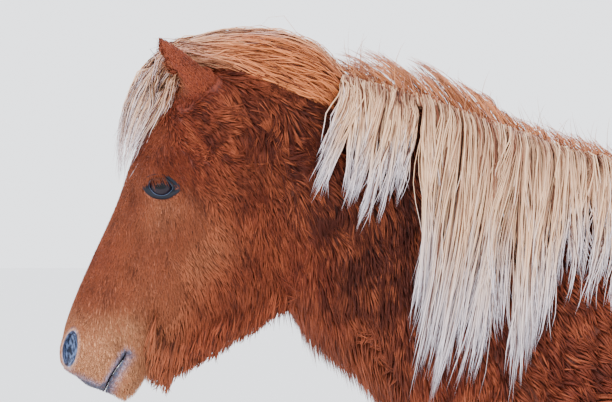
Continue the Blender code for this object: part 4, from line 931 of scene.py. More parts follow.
@dataclass
class Hair:
    """Tapered blades of hair, laid out as paths and not yet made into a mesh."""

    paths: np.ndarray
    outs: np.ndarray
    widths: np.ndarray
    taper: tuple
    flat: float
    values: dict

    def part(self, chosen: slice) -> "Hair":
        """Some of the blades, by their numbers."""
        values = {name: numbers[chosen] for name, numbers in self.values.items()}
        return Hair(
            self.paths[chosen], self.outs[chosen], self.widths[chosen], self.taper, self.flat, values
        )

    def triangle_count(self) -> int:
        """How many triangles each blade takes."""
        return 6 * (self.paths.shape[1] - 2) + 4

    def mesh(self, name: str) -> bpy.types.Mesh:
        """The blades as closed three-sided spikes in one mesh.

        Args:
            name: the mesh's name.

        Returns:
            The mesh, with each blade's values, the share along it and its patch of the map OFBake.
        """
        count, length = self.paths.shape[:2]
        rings = length - 1
        along = unit(np.gradient(self.paths, axis=1))[:, :rings]
        outs = self.outs if self.outs.ndim == 3 else np.repeat(self.outs[:, None], length, axis=1)
        across = unit(np.cross(along, outs[:, :rings]))
        proud = np.cross(across, along)
        size = self.widths[:, None, None] * np.array(self.taper)[None, :, None]
        middle = self.paths[:, :rings]
        corners = np.stack([
            middle + across * size / 2, middle - across * size / 2, middle + proud * size * self.flat
        ], axis=2)
        body = corners.reshape(count, rings * 3, 3)
        points = np.concatenate([body, self.paths[:, -1:]], axis=1)
        each = rings * 3 + 1
        faces = [(0, 1, 2)]
        for ring in range(rings - 1):
            for k in range(3):
                a, b = ring * 3 + k, ring * 3 + (k + 1) % 3
                faces += [(a, a + 3, b), (b, a + 3, b + 3)]
        last = (rings - 1) * 3
        faces += [(last + k, each - 1, last + (k + 1) % 3) for k in range(3)]
        triangles = np.array(faces)[None] + (np.arange(count) * each)[:, None, None]
        triangles = triangles.reshape(-1, 3)
        mesh = mesh_from(name, points.reshape(-1, 3), triangles)
        share = np.append(np.repeat(np.arange(rings) / rings, 3), 1.0)
        give_values(mesh, {"along": np.tile(share, count)})
        give_values(mesh, {key: np.repeat(numbers, each) for key, numbers in self.values.items()})
        unwrap = Unwrap()
        roots = unwrap.of(self.paths[:, 0])
        sideways = np.append(np.tile([-0.5, 0.5, 0.0], rings), 0.0)
        patch = np.stack([sideways, share - 0.5], axis=1) * unwrap.patch
        spots = (roots[:, None] + patch[None]).reshape(-1, 2)
        layer = mesh.uv_layers.new(name="OFBake")
        layer.data.foreach_set("uv", spots[triangles.ravel()].astype(np.float32).ravel())
        return mesh

    def pieces(self, name: str, look: bpy.types.Material, slot: str, home: bpy.types.Object) -> None:
        """Makes the blades into objects of the horse, each under the limit of triangles.

        Args:
            name: the pieces' name, which a number follows where there are several.
            look: their finish.
            slot: not used.
            home: not used.
        """
        most = TRIANGLES_A_PIECE // self.triangle_count()
        parts = math.ceil(len(self.paths) / most)
        step = math.ceil(len(self.paths) / parts)
        for number in range(parts):
            some = self.part(slice(number * step, (number + 1) * step))
            label = name if parts == 1 else f"{name}_{number + 1}"
            obj = new_object(label, some.mesh(label))
            obj.data.materials.append(look)
            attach(obj, "root")
            LOG.info("%s: %d blades, %d triangles", label, len(some.paths), len(obj.data.polygons))


@dataclass
class WinterCoat:
    """The short hair of the whole horse, in tufts that overlap along the lie of the coat."""

    skin: Skin
    rng: np.random.Generator
    width: float = 0.78
    flat: float = 0.24

    def scatter(self, wanted: np.ndarray, spacing: np.ndarray) -> tuple[np.ndarray, np.ndarray]:
        """Spreads roots evenly over some of the skin.

        Args:
            wanted: the share of its roots that each triangle gets, from 0 to 1.
            spacing: metres from root to root, for each triangle.

        Returns:
            The roots and the skin's normals there.
        """
        triangles = self.skin.triangles
        corners = self.skin.points[triangles]
        area = np.linalg.norm(
            np.cross(corners[:, 1] - corners[:, 0], corners[:, 2] - corners[:, 0]), axis=1
        ) / 2
        total = np.cumsum(wanted * area / spacing**2)
        picks = np.arange(self.rng.uniform(), total[-1], 1.0)
        chosen = np.searchsorted(total, picks)
        a, b = self.rng.uniform(size=(2, len(chosen)))
        over = a + b > 1
        a, b = np.where(over, 1 - a, a), np.where(over, 1 - b, b)
        weights = np.stack([1 - a - b, a, b], axis=1)[:, :, None]
        roots = (corners[chosen] * weights).sum(axis=1)
        normals = unit((self.skin.normals[triangles[chosen]] * weights).sum(axis=1))
        return roots, normals

    def lie(self, roots: np.ndarray, normals: np.ndarray, lean: np.ndarray) -> np.ndarray:
        """The way the hair lies at rows of places, along the skin."""
        way = np.stack([np.sin(lean), np.zeros(len(lean)), -np.cos(lean)], axis=1)
        ear = self.skin.ear_share(roots)
        for one in self.skin.ears.values():
            _, _, up, opening, _ = one.axes()
            mine = (ear * (roots[:, 1] * one.side.value > 0))[:, None]
            front = one.front(roots)[:, None]
            way = way * (1 - mine) + (np.array(up) + np.array(opening) * 0.7 * front) * mine
        way -= normals * (way * normals).sum(axis=1, keepdims=True)
        return unit(way)

    def tufts(self, wanted: np.ndarray, rings: int) -> Hair:
        """Tufts over some of the skin.

        Args:
            wanted: the share of its tufts that each triangle of the skin gets.
            rings: how many rings each tuft has under its tip.

        Returns:
            The tufts.
        """
        skin, coat, rng = self.skin, self.skin.coat, self.rng
        middle = skin.points[skin.triangles].mean(axis=1)
        ear = skin.ear_share(middle)
        spacing = coat.read(middle)["spacing"]
        spacing = spacing * (1 - ear) + coat.ear_spacing * ear
        roots, normals = self.scatter(wanted, spacing)
        at = coat.read(roots)
        ear = skin.ear_share(roots)
        bare = skin.face.lips(roots)
        edge = 1.0 - smoothstep(1.1, 1.5, skin.face.nostril_depth(roots))
        front = sum(one.front(roots) * (roots[:, 1] * side.value > 0) for side, one in skin.ears.items())
        on_ear = coat.ear_length + (coat.ear_fringe - coat.ear_length) * front
        length = at["length"] * (1 - ear) + on_ear * ear
        length = length * (1 - 0.75 * np.maximum(bare, edge))
        length *= rng.uniform(0.75, 1.15, len(roots)) * (1 + 0.12 * ripple(roots, 0.05, rng))
        spacing = at["spacing"] * (1 - ear) + coat.ear_spacing * ear
        wave = at["wave"] * (1 - ear)
        way = self.lie(roots, normals, at["lean"])
        turn = wave * (0.60 * ripple(roots, 0.070, rng) + 0.25 * ripple(roots, 0.022, rng))
        turn = turn + rng.normal(0, 0.07, len(roots))
        side = np.cross(normals, way)
        way = way * np.cos(turn)[:, None] + side * np.sin(turn)[:, None]
        side = np.cross(normals, way)
        stand = coat.stand(normals) * (0.75 + 0.5 * rng.uniform(size=len(roots)))
        stand = stand * (1 + 0.35 * wave * ripple(roots, 0.022, rng))
        high = (stand * length)[:, None] * normals
        curl = (wave * 0.25 * ripple(roots, 0.03, rng) + rng.normal(0, 0.05, len(roots)))[:, None]
        drop = np.zeros((len(roots), 3))
        drop[:, 2] = -0.5 * length * smoothstep(0.2, 0.8, -normals[:, 2])
        reach = length[:, None]
        path = [roots - 0.25 * high]
        for k in range(1, rings + 1):
            t = k / rings
            rise = 1.55 * t - 0.55 * t * t
            path.append(roots + way * reach * t + side * curl * reach * t * t + high * rise + drop * t * t)
        paths = np.stack(path, axis=1)
        lock = self.gather(paths, spacing, wave)
        tone = 0.42 * rng.normal(size=len(roots)) + 0.40 * ripple(roots, 0.05, rng)
        tone = tone + (0.2 + 0.5 * wave) * lock
        values = {
            "tone": np.clip(tone, -1.6, 1.6),
            # dark is painted shade, kept mostly off the ears
            "dark": at["dark"] * (1 - 0.8 * ear),
            "pale": at["pale"] * (1 - ear) + 0.45 * ear * front,
            "bare": np.maximum(bare, 0.8 * edge),
        }
        taper = {1: (1.0,), 2: (0.85, 0.80), 3: (0.80, 1.0, 0.62)}[rings]
        return Hair(paths, normals, spacing * self.width, taper, self.flat, values)

    def gather(self, paths: np.ndarray, spacing: np.ndarray, wave: np.ndarray) -> np.ndarray:
        """Draws the tips of near tufts together into locks, larger and tighter where the coat waves.

        Args:
            paths: the tufts' paths, which it moves.
            spacing: metres from root to root.
            wave: the waviness at each root.

        Returns:
            A random value for each tuft that its lock shares.
        """
        size = np.maximum(3.5 * spacing, 0.007) * (1 + 0.5 * np.round(wave))
        cell = np.floor(paths[:, -1] / size[:, None] + self.rng.uniform(0, 1, 3)).astype(np.int64)
        key = (cell[:, 0] * 73856093) ^ (cell[:, 1] * 19349663) ^ (cell[:, 2] * 83492791)
        _, group = np.unique(key, return_inverse=True)
        count = np.bincount(group)
        middle = np.stack(
            [np.bincount(group, paths[:, -1, axis]) / count for axis in range(3)], axis=1
        )
        pull = (0.12 + 0.50 * wave)[:, None]
        toward = middle[group] - paths[:, -1]
        rings = paths.shape[1] - 1
        for k in range(1, rings + 1):
            paths[:, k] += toward * pull * (k / rings) ** 1.6
        return self.rng.normal(size=len(count))[group]

    def grow(self, look: bpy.types.Material, home: bpy.types.Object) -> None:
        """Grows the coat zone by zone, finest on the face and feet."""
        skin = self.skin
        middle = skin.points[skin.triangles].mean(axis=1)
        x = middle[:, 0] - WITHERS_X
        head = skin.on_head(middle)
        ear = skin.ear_share(middle)
        bare = self.bare_share(middle)
        near_face = (skin.coat.read(middle)["length"] < 0.0165) | (ear > 0.5)
        fine = head * near_face * bare
        cheek = head * (1 - near_face) * bare
        neck = (1 - head) * (x < 0.02)
        trunk = (1 - head) * (x >= 0.02) * (middle[:, 2] > 0.66)
        legs = (1 - head) * (middle[:, 2] <= 0.66)
        neck = neck * (middle[:, 2] > 0.66)
        for name, zone, rings in (
            ("coat_face", fine, 1),
            ("coat_cheeks", cheek, 2),
            ("coat_neck", neck, 2),
            ("coat_trunk", trunk, 2),
            ("coat_legs", legs, 1),
        ):
            self.tufts(zone, rings).pieces(name, look, "coat", home)

    def bare_share(self, points: np.ndarray) -> np.ndarray:
        """The share of tufts left at rows of places, 0 in the eyes, nostrils and mouth."""
        skin = self.skin
        keep = smoothstep(1.12, 1.30, skin.face.nostril_depth(points))
        keep *= 1.0 - 0.55 * skin.face.lips(points)
        for side in Side:
            wide, high = skin.face.lid_reach
            keep *= smoothstep(0.90, 1.02, skin.face.into(skin.face.eyes[side], (wide, 0.04, high), points))
        return keep


@dataclass
class Sheet:
    """A sheet of guide paths that long hair hangs along, with the way off the skin at each point."""

    guides: np.ndarray
    outs: np.ndarray

    def read(self, table: np.ndarray, across: np.ndarray, along: np.ndarray) -> np.ndarray:
        """Values of a table of the guides in between them."""
        rows, columns = table.shape[:2]
        a = np.clip(across, 0, 1) * (rows - 1)
        b = np.clip(along, 0, 1) * (columns - 1)
        i, j = np.minimum(a.astype(int), rows - 2), np.minimum(b.astype(int), columns - 2)
        f, g = (a - i)[..., None], (b - j)[..., None]
        near = table[i, j] * (1 - g) + table[i, j + 1] * g
        far = table[i + 1, j] * (1 - g) + table[i + 1, j + 1] * g
        return near * (1 - f) + far * f


@dataclass
class LongHair:
    """How one fall of long hair is spread over its guides, in locks and the wisps within them."""

    count: int
    points: int
    width: float
    locks: int
    shortest: float
    thickness: float
    wave: float = 0.003
    gather: float = 0.5
    start: float = 0.0
    span: float = 1.0
    stray: float = 0.05
    flat: float = 0.5
    wisps_a_lock: int = 5
    lock_gather: float = 0.30

    def shared(self, across: np.ndarray, many: int, jitter: float,
               rng: np.random.Generator) -> tuple[np.ndarray, np.ndarray]:
        """Sorts hair into groups of uneven size.

        Args:
            across: each hair's place from one side of the fall to the other.
            many: how many groups.
            jitter: how far hair strays into the groups beside its own, in groups.
            rng: the source of random draws.

        Returns:
            Each hair's group and the place that each group draws to.
        """
        edges = np.cumsum(rng.uniform(0.35, 1.65, many))
        edges = edges / edges[-1]
        place = np.clip(across + rng.normal(0, jitter / many, len(across)), 0, 1)
        middle = (edges + np.append(0.0, edges[:-1])) / 2
        group = np.clip(np.searchsorted(edges, place), 0, many - 1)
        return group, middle + rng.normal(0, 0.25 / many, many)

    def drift(self, group: np.ndarray, size: float, turns: float, t: np.ndarray,
              rng: np.random.Generator) -> np.ndarray:
        """A wave that the hair of a group shares, which grows from nothing at the root."""
        many = int(group.max()) + 1
        phase = rng.uniform(0, 2 * math.pi, many)[group][:, None]
        rate = turns * rng.uniform(0.6, 1.4, many)[group][:, None]
        most = size * rng.normal(0, 1, many)[group][:, None]
        return most * (np.sin(2 * math.pi * rate * t + phase) - np.sin(phase)) * t

    def grow(self, sheet: Sheet, rng: np.random.Generator, **marks: float) -> Hair:
        """Lays hair along a sheet of guides.

        Args:
            sheet: the guides.
            rng: the source of its random draws.
            marks: values that all this hair has for its finish.

        Returns:
            The hair.
        """
        count, wave = self.count, self.wave
        across = (np.arange(count) + rng.uniform(size=count)) / count
        lock, lock_place = self.shared(across, self.locks, 0.25, rng)
        wisps = self.locks * self.wisps_a_lock
        wisp, wisp_place = self.shared(across, wisps, 0.45, rng)
        own = np.arange(count)
        strays = rng.uniform(size=count) < self.stray
        wild = np.where(strays, 3.0, 1.0)[:, None]
        sizes = self.shortest + (1 - self.shortest) * rng.uniform(size=self.locks) ** 0.6
        reach = sizes[lock] * rng.uniform(0.80, 1.0, wisps)[wisp]
        reach = reach * (1 - 0.48 * rng.uniform(size=count) ** 2.0)
        first = self.start * rng.uniform(size=count)
        reach = np.minimum(first + (1.0 - first if self.span >= 1.0 else self.span) * reach, 1.0)
        t = np.linspace(0, 1, self.points)[None, :]
        along = first[:, None] + (reach - first)[:, None] * t
        pull = self.gather * np.where(strays, -0.4, 1.0)[:, None]
        spread = across[:, None] + (wisp_place[wisp] - across)[:, None] * pull * t**0.9
        spread = spread + (lock_place[lock] - across)[:, None] * self.lock_gather * pull * t**1.8
        paths = sheet.read(sheet.guides, spread, along)
        outs = unit(sheet.read(sheet.outs, spread, along))
        side = unit(np.cross(unit(np.gradient(paths, axis=1)), outs))
        sway = self.drift(lock, 1.6 * wave, 0.6, t, rng) + self.drift(wisp, 1.0 * wave, 1.1, t, rng)
        sway = sway + self.drift(own, 0.6 * wave, 1.5, t, rng) * wild
        layer = 0.55 * rng.uniform(size=wisps)[wisp] + 0.45 * rng.uniform(size=count)
        height = self.thickness * layer[:, None] * (0.25 + 0.75 * np.sin(math.pi * np.minimum(t * 1.1, 1)))
        height = height + np.abs(self.drift(wisp, 0.7 * wave, 1.0, t, rng))
        height = height + np.abs(self.drift(own, 0.4 * wave, 1.4, t, rng)) * wild
        paths = paths + side * sway[..., None] + outs * height[..., None]
        paths[:, 0] -= outs[:, 0] * 0.004
        share = np.arange(self.points - 1) / (self.points - 1)
        taper = tuple(0.75 + 0.30 * np.sin(math.pi * share) - 0.50 * share**3)
        values = {
            "tone": np.clip(0.85 * rng.normal(size=count) + 0.5 * (layer - 0.5), -1.6, 1.6),
            "clump": rng.uniform(-1, 1, wisps)[wisp],
            "layer": layer,
        }
        values.update({name: np.full(count, value) for name, value in marks.items()})
        widths = self.width * rng.uniform(0.55, 1.35, count)
        return Hair(paths, outs, widths, taper, self.flat, values)


@dataclass
class Neckline:
    """The top line of the neck and how hair hangs down one of its sides."""

    skin: Skin
    coat_lift: float = 0.010
    steps: int = 14

    def crest(self, x: float) -> float:
        """The height of the crest at a distance from the withers."""
        rows = [(row[0], row[1]) for row in self.skin.body.neck]
        return float(np.interp(x, [row[0] for row in rows], [row[1] for row in rows]))

    def hung(self, root_x: float, tip_x: float, tip_z: float, side: Side) -> tuple[np.ndarray, np.ndarray]:
        """A guide from the crest over and down one side, lying on the coat.

        Args:
            root_x: where it grows on the crest.
            tip_x: where its tip hangs.
            tip_z: how high its tip hangs.
            side: the side it falls to.

        Returns:
            Its points and the ways off the skin there.
        """
        top = self.crest(root_x)
        points, outs = [in_frame(root_x + 0.004, -side.value * 0.004, top - 0.014)], [Vector((0, 0, 1))]
        points.append(in_frame(root_x, side.value * 0.012, top + 0.002))
        outs.append(Vector((0, side.value * 0.4, 0.9)).normalized())
        for k in range(1, self.steps - 1):
            t = k / (self.steps - 2)
            x = root_x + (tip_x - root_x) * t**1.7
            z = top + (tip_z - top) * t**1.08
            start = in_frame(x, side.value, z)
            hit, normal, _, _ = self.skin.tree.ray_cast(start, Vector((0, -side.value, 0)))
            if hit is None or hit.y * side.value < 0.012:
                points.append(in_frame(x, side.value * (0.022 + 0.05 * t), z))
                outs.append(Vector((0, side.value * 0.7, 0.7)))
            else:
                points.append(hit + normal * self.coat_lift)
                outs.append(normal)
        return np.array(points), np.array(outs)

    def sheet(self, table: tuple, side: Side, between: int = 5) -> Sheet:
        """The guides of a table of root x, tip x and tip z, with more in between."""
        rows = smooth_between(np.array(table), between)
        made = [self.hung(*row, side) for row in rows]
        return Sheet(np.array([m[0] for m in made]), np.array([m[1] for m in made]))


@dataclass
class Mane:
    """The mane: two falls on the near side, one on the far side and the wisps blown off the crest."""

    line: Neckline
    # root x, tip x, tip z
    first_fall: tuple = (
        (-0.522, -0.585, 1.394),
        (-0.505, -0.565, 1.324),
        (-0.485, -0.543, 1.304),
        (-0.465, -0.525, 1.288),
        (-0.445, -0.500, 1.282),
        (-0.430, -0.470, 1.292),
        (-0.410, -0.452, 1.284),
    )
    main_fall: tuple = (
        (-0.400, -0.444, 1.140),
        (-0.378, -0.436, 1.066),
        (-0.355, -0.420, 1.030),
        (-0.330, -0.394, 1.006),
        (-0.300, -0.360, 0.992),
        (-0.260, -0.316, 0.988),
        (-0.222, -0.268, 1.004),
        (-0.198, -0.236, 1.080),
        (-0.172, -0.205, 1.140),
        (-0.140, -0.170, 1.160),
        (-0.100, -0.128, 1.165),
        (-0.055, -0.080, 1.180),
        (0.005, -0.010, 1.225),
    )
    far_drop: float = 0.30
    # root x, how far the tip is blown forward, how high it stands over the crest
    blown: tuple = (
        (-0.530, 0.060, 0.010),
        (-0.470, 0.095, 0.024),
        (-0.415, 0.125, 0.048),
        (-0.365, 0.135, 0.062),
        (-0.315, 0.125, 0.068),
        (-0.275, 0.095, 0.060),
        (-0.240, 0.070, 0.034),
        (-0.180, 0.055, 0.028),
        (-0.100, 0.060, 0.034),
        (-0.010, 0.060, 0.028),
    )

    def far_fall(self) -> tuple:
        """The rows of the far side, whose fall is more even."""
        out = []
        for k in range(10):
            x = -0.520 + 0.525 * k / 9
            drop = self.far_drop * (0.86 + 0.14 * math.sin(2.3 * k)) * (1 - 0.65 * (k / 9) ** 5)
            out.append((x, x - 0.036, self.line.crest(x) - drop))
        return tuple(out)

    def blown_sheet(self) -> Sheet:
        """Guides of the hair that the wind lifts over the crest from the far side."""
        points, outs = [], []
        for root_x, forward, high in smooth_between(np.array(self.blown), 3):
            line = []
            for t in np.linspace(0, 1, 8):
                x = root_x - forward * t**1.15
                z = self.line.crest(x) - 0.012 + (high + 0.012) * (1 - (1 - t) ** 1.8)
                line.append(in_frame(x, 0.018 + 0.020 * t, z))
            points.append(line)
            outs.append([Vector((-0.2, -0.3, 0.9))] * len(line))
        return Sheet(np.array(points), unit(np.array(outs)))

    def wisps(self, count: int, high: tuple, width: float, rng: np.random.Generator) -> Hair:
        """Hair that the wind lifts off the crest, up and towards the poll."""
        x = rng.uniform(-0.50, 0.02, count)
        top = np.array([self.line.crest(float(v)) for v in x])
        reach = high[0] + (high[1] - high[0]) * rng.uniform(size=count) ** 2.2
        clump = np.floor(x / 0.018) % 5
        angle = np.radians(40 + 12 * clump / 5 + rng.normal(0, 9, count))
        bend = rng.normal(0.25, 0.25, count)
        y0 = rng.uniform(-0.004, 0.026, count)
        slope = rng.uniform(0.0, 0.30, count)
        t = np.linspace(0, 1, 8)[None, :]
        turn = angle[:, None] + bend[:, None] * t
        step = reach[:, None] * t
        paths = np.stack([
            x[:, None] + WITHERS_X - step * np.cos(turn),
            y0[:, None] + slope[:, None] * step,
            top[:, None] - 0.012 + step * np.sin(turn),
        ], axis=-1)
        outs = np.tile([0.0, 1.0, 0.1], (count, 1))
        taper = (0.8, 1.0, 1.0, 0.9, 0.8, 0.6, 0.4)
        values = {
            "tone": rng.normal(0, 0.6, count),
            "clump": rng.uniform(-1, 1, count),
            "layer": rng.uniform(size=count),
            "red": np.full(count, 0.75),
        }
        return Hair(paths, outs, width * rng.uniform(0.6, 1.2, count), taper, 0.5, values)

    def grow(self, look: bpy.types.Material, home: bpy.types.Object, rng: np.random.Generator) -> None:
        """Makes the mane's pieces."""
        near = self.line.sheet(self.first_fall, Side.LEFT)
        fall = LongHair(950, 10, 0.0019, 12, 0.70, 0.016, 0.0045, 0.52, 0.05, stray=0.04, wisps_a_lock=7)
        fall.grow(near, rng, red=0.0).pieces("mane_first_fall", look, "mane", home)
        main = self.line.sheet(self.main_fall, Side.LEFT)
        fall = LongHair(2750, 12, 0.0020, 30, 0.70, 0.024, 0.005, 0.52, 0.05, stray=0.04, wisps_a_lock=7)
        fall.grow(main, rng, red=0.0).pieces("mane_main_fall", look, "mane", home)
        far = self.line.sheet(self.far_fall(), Side.RIGHT)
        fall = LongHair(1350, 9, 0.0042, 26, 0.74, 0.026, 0.005)
        fall.grow(far, rng, red=0.0).pieces("mane_far_fall", look, "mane", home)
        lifted = LongHair(1150, 8, 0.0013, 36, 0.50, 0.012, 0.0030, 0.45, start=0.10, stray=0.15)
        lifted.grow(self.blown_sheet(), rng, red=0.80).pieces("mane_blown", look, "mane", home)
        self.wisps(560, (0.012, 0.050), 0.0013, rng).pieces("mane_crest", look, "mane", home)
        self.wisps(260, (0.050, 0.115), 0.0012, rng).pieces("mane_wisps", look, "mane", home)


@dataclass
class Forelock:
    """The hair that the wind lays from the poll forward between the ears and over the brow."""

    skin: Skin
    # x and z in the middle, x and z at its side, half its spread
    rows: tuple = (
        (-0.506, 1.534, -0.528, 1.478, 0.046),
        (-0.534, 1.562, -0.550, 1.494, 0.058),
        (-0.566, 1.588, -0.580, 1.506, 0.064),
        (-0.608, 1.604, -0.616, 1.518, 0.064),
        (-0.650, 1.611, -0.656, 1.528, 0.058),
        (-0.700, 1.608, -0.700, 1.548, 0.046),
        (-0.745, 1.602, -0.742, 1.552, 0.036),
        (-0.806, 1.578, -0.768, 1.536, 0.038),
        (-0.848, 1.522, -0.779, 1.486, 0.045),
        (-0.866, 1.466, -0.802, 1.442, 0.051),
        (-0.874, 1.414, -0.826, 1.410, 0.054),
        (-0.866, 1.354, -0.846, 1.376, 0.048),
    )
    guides: int = 15
    arch: float = 1.7
    # x where the hair is all cream, and where it is all red
    red_from: tuple = (-0.860, -0.640)
    turning_point: int = 4

    def sheet(self, depth: float) -> Sheet:
        """The guides at a share of the way from the outside towards the skin."""
        rows = smooth_between(np.array(self.rows), 2)
        points, outs = [], []
        for i in range(self.guides):
            share = -1 + 2 * i / (self.guides - 1)
            away = abs(share) ** self.arch
            line, ways = [], []
            for mx, mz, sx, sz, spread in rows:
                point = in_frame(mx + (sx - mx) * away, share * spread, mz + (sz - mz) * away)
                spot, normal, _, _ = self.skin.tree.find_nearest(point)
                line.append(point.lerp(spot + normal * 0.006, depth))
                ways.append(normal)
            points.append(line)
            outs.append(ways)
        return Sheet(np.array(points), unit(np.array(outs)))

    def grow(self, look: bpy.types.Material, home: bpy.types.Object, rng: np.random.Generator) -> None:
        """Makes the forelock's pieces."""
        for name, depth, count, start, span in (
            ("forelock_outer", 0.10, 1100, 0.58, 0.46),
            ("forelock_middle", 0.42, 800, 0.60, 0.42),
            ("forelock_inner", 0.74, 850, 0.60, 0.42),
        ):
            fall = LongHair(count, 9, 0.0022, 18, 0.60, 0.012, 0.005, 0.50, start, span)
            hair = fall.grow(self.sheet(depth), rng)
            middle = hair.paths[:, self.turning_point, 0] - WITHERS_X
            aside = smoothstep(0.0, 0.035, np.abs(hair.paths[:, self.turning_point, 1]))
            red = (0.55 + 0.45 * aside) * smoothstep(*self.red_from, middle)
            hair.values["red"] = np.maximum(red, 0.16)
            hair.pieces(name, look, "mane", home)


@dataclass
class Tail:
    """The tail's long hair round its dock."""

    # x and z of the middle, then half the spread along X and Y
    rows: tuple = (
        (1.010, 1.196, 0.026, 0.030),
        (1.062, 1.158, 0.036, 0.040),
        (1.096, 1.050, 0.050, 0.060),
        (1.112, 0.900, 0.062, 0.078),
        (1.114, 0.700, 0.066, 0.088),
        (1.110, 0.480, 0.062, 0.084),
        (1.102, 0.290, 0.050, 0.066),
        (1.096, 0.130, 0.026, 0.032),
    )
    around: int = 25

    def sheet(self, inward: float) -> Sheet:
        """Guides round the tail, at a share of its spread."""
        rows = smooth_between(np.array(self.rows), 3)
        points, outs = [], []
        for k in range(self.around):
            angle = 2 * math.pi * k / (self.around - 1)
            c, s = math.cos(angle), math.sin(angle)
            points.append([in_frame(x + c * wx * inward, s * wy * inward, z) for x, z, wx, wy in rows])
            outs.append([Vector((c, s, 0.0))] * len(rows))
        return Sheet(np.array(points), np.array(outs))

    def grow(self, look: bpy.types.Material, home: bpy.types.Object, rng: np.random.Generator) -> None:
        """Makes the tail's pieces."""
        for name, inward, count, start in (("tail_outer", 0.78, 1000, 0.34), ("tail_inner", 0.42, 700, 0.10)):
            hair = LongHair(count, 12, 0.0056, 16, 0.68, 0.014, 0.008, 0.45, start)
            hair.grow(self.sheet(inward), rng, red=0.0).pieces(name, look, "mane", home)


@dataclass
class Beard:
    """The long hair that hangs under the jaw and the throat."""

    skin: Skin
    # Where the tips hang, as x and z
    tips: tuple = (
        (-0.832, 1.080),
        (-0.822, 1.056),
        (-0.806, 1.042),
        (-0.788, 1.060),
        (-0.766, 1.072),
        (-0.748, 1.084),
        (-0.728, 1.094),
        (-0.710, 1.108),
        (-0.692, 1.118),
        (-0.672, 1.132),
        (-0.652, 1.142),
        (-0.634, 1.154),
        (-0.612, 1.166),
        (-0.594, 1.160),
    )

    steps: int = 8
    lift: float = 0.004

    def sheet(self, y: float, deep: float) -> Sheet:
        """Guides down the skin and off it to the tips, which hang at a distance from the middle."""
        sign = 1 if y >= 0 else -1
        points, outs = [], []
        for tip_x, tip_z in smooth_between(np.array(self.tips), 3):
            line, ways = [], []
            last = y
            for k in range(self.steps):
                t = k / (self.steps - 1)
                place = in_frame(tip_x + 0.020 * (1 - t), 0.0, tip_z + deep * (1 - t))
                far = place + Vector((0, sign * 0.3, 0))
                hit, normal, _, _ = self.skin.tree.ray_cast(far, Vector((0, -sign, 0)))
                if hit is not None and hit.y * sign > abs(y) * 0.6 and t < 0.9:
                    bent = hit + normal * self.lift
                    last = min(abs(bent.y), abs(y) * 1.6 + 0.004) * sign
                    line.append(Vector((bent.x, last, bent.z)))
                else:
                    last = last + (y * 0.8 - last) * 0.35
                    line.append(Vector((place.x, last, place.z)))
                ways.append(Vector((0, sign, 0)))
            points.append(line)
            outs.append(ways)
        return Sheet(np.array(points), np.array(outs, float))

    def grow(self, look: bpy.types.Material, home: bpy.types.Object, rng: np.random.Generator) -> None:
        """Makes the beard's pieces."""
        for name, y, deep in (
            ("beard_middle", 0.0, 0.060),
            ("beard_left", -0.022, 0.085),
            ("beard_right", 0.022, 0.085),
            ("beard_left_side", -0.040, 0.110),
            ("beard_right_side", 0.040, 0.110),
        ):
            fall = LongHair(560, 6, 0.0020, 24, 0.60, 0.006, 0.0018, 0.35, 0.45)
            hair = fall.grow(self.sheet(y, deep), rng, bare=0.0)
            at = self.skin.coat.read(hair.paths[:, 0])
            # The beard takes the coat's painted shade (dark) and its paleness at the roots.
            hair.values.update(dark=at["dark"], pale=at["pale"])
            hair.pieces(name, look, "coat", home)


@dataclass
class Feather:
    """The long hair behind one fetlock."""

    body: Body
    skin: Skin
    limb: Limb
    side: Side
    grows: dict = field(default_factory=lambda: {Limb.FORE: (-0.078, 0.178), Limb.HIND: (0.990, 0.178)})
    hangs: dict = field(default_factory=lambda: {Limb.FORE: (-0.072, 0.048), Limb.HIND: (0.996, 0.050)})
    arc: float = 84.0
    guides: int = 9

    def sheet(self) -> Sheet:
        """Guides round the back of the fetlock."""
        rx, rz = self.grows[self.limb]
        tx, tz = self.hangs[self.limb]
        y = self.side.value * self.limb.value
        step = self.body.step(self.limb, self.side, rz)
        points, outs = [], []
        for k in range(self.guides):
            angle = math.radians(self.arc * (2 * k / (self.guides - 1) - 1))
            c, s = 0.026 * math.cos(angle), math.sin(angle)
            line = [
                in_frame(rx + step - 0.030 + c, y + s * 0.022, rz + 0.030),
                in_frame(rx + step - 0.016 + c, y + s * 0.038, rz + 0.000),
                in_frame(rx + step - 0.008 + c, y + s * 0.046, rz - 0.040),
                in_frame(rx + step - 0.008 + c, y + s * 0.049, (rz + tz) / 2 - 0.010),
                in_frame(tx + step - 0.010 + c * 0.5, y + s * 0.043, tz),
            ]
            spot, normal, _, _ = self.skin.tree.find_nearest(line[0])
            line[0] = spot
            points.append(line)
            outs.append([Vector((math.cos(angle), s, 0.2)).normalized()] * len(line))
        return Sheet(np.array(points), np.array(outs))

    def grow(self, look: bpy.types.Material, home: bpy.types.Object, rng: np.random.Generator) -> None:
        """Makes the feather's piece."""
        hair = LongHair(420, 7, 0.0034, 9, 0.72, 0.006, 0.004, 0.45, 0.30)
        # dark gives the feather a little painted shade.
        marks = {"dark": 0.10, "pale": 0.35, "bare": 0.0}
        name = f"feather_{self.side.word}_{self.limb.word}"
        hair.grow(self.sheet(), rng, **marks).pieces(name, look, "coat", home)


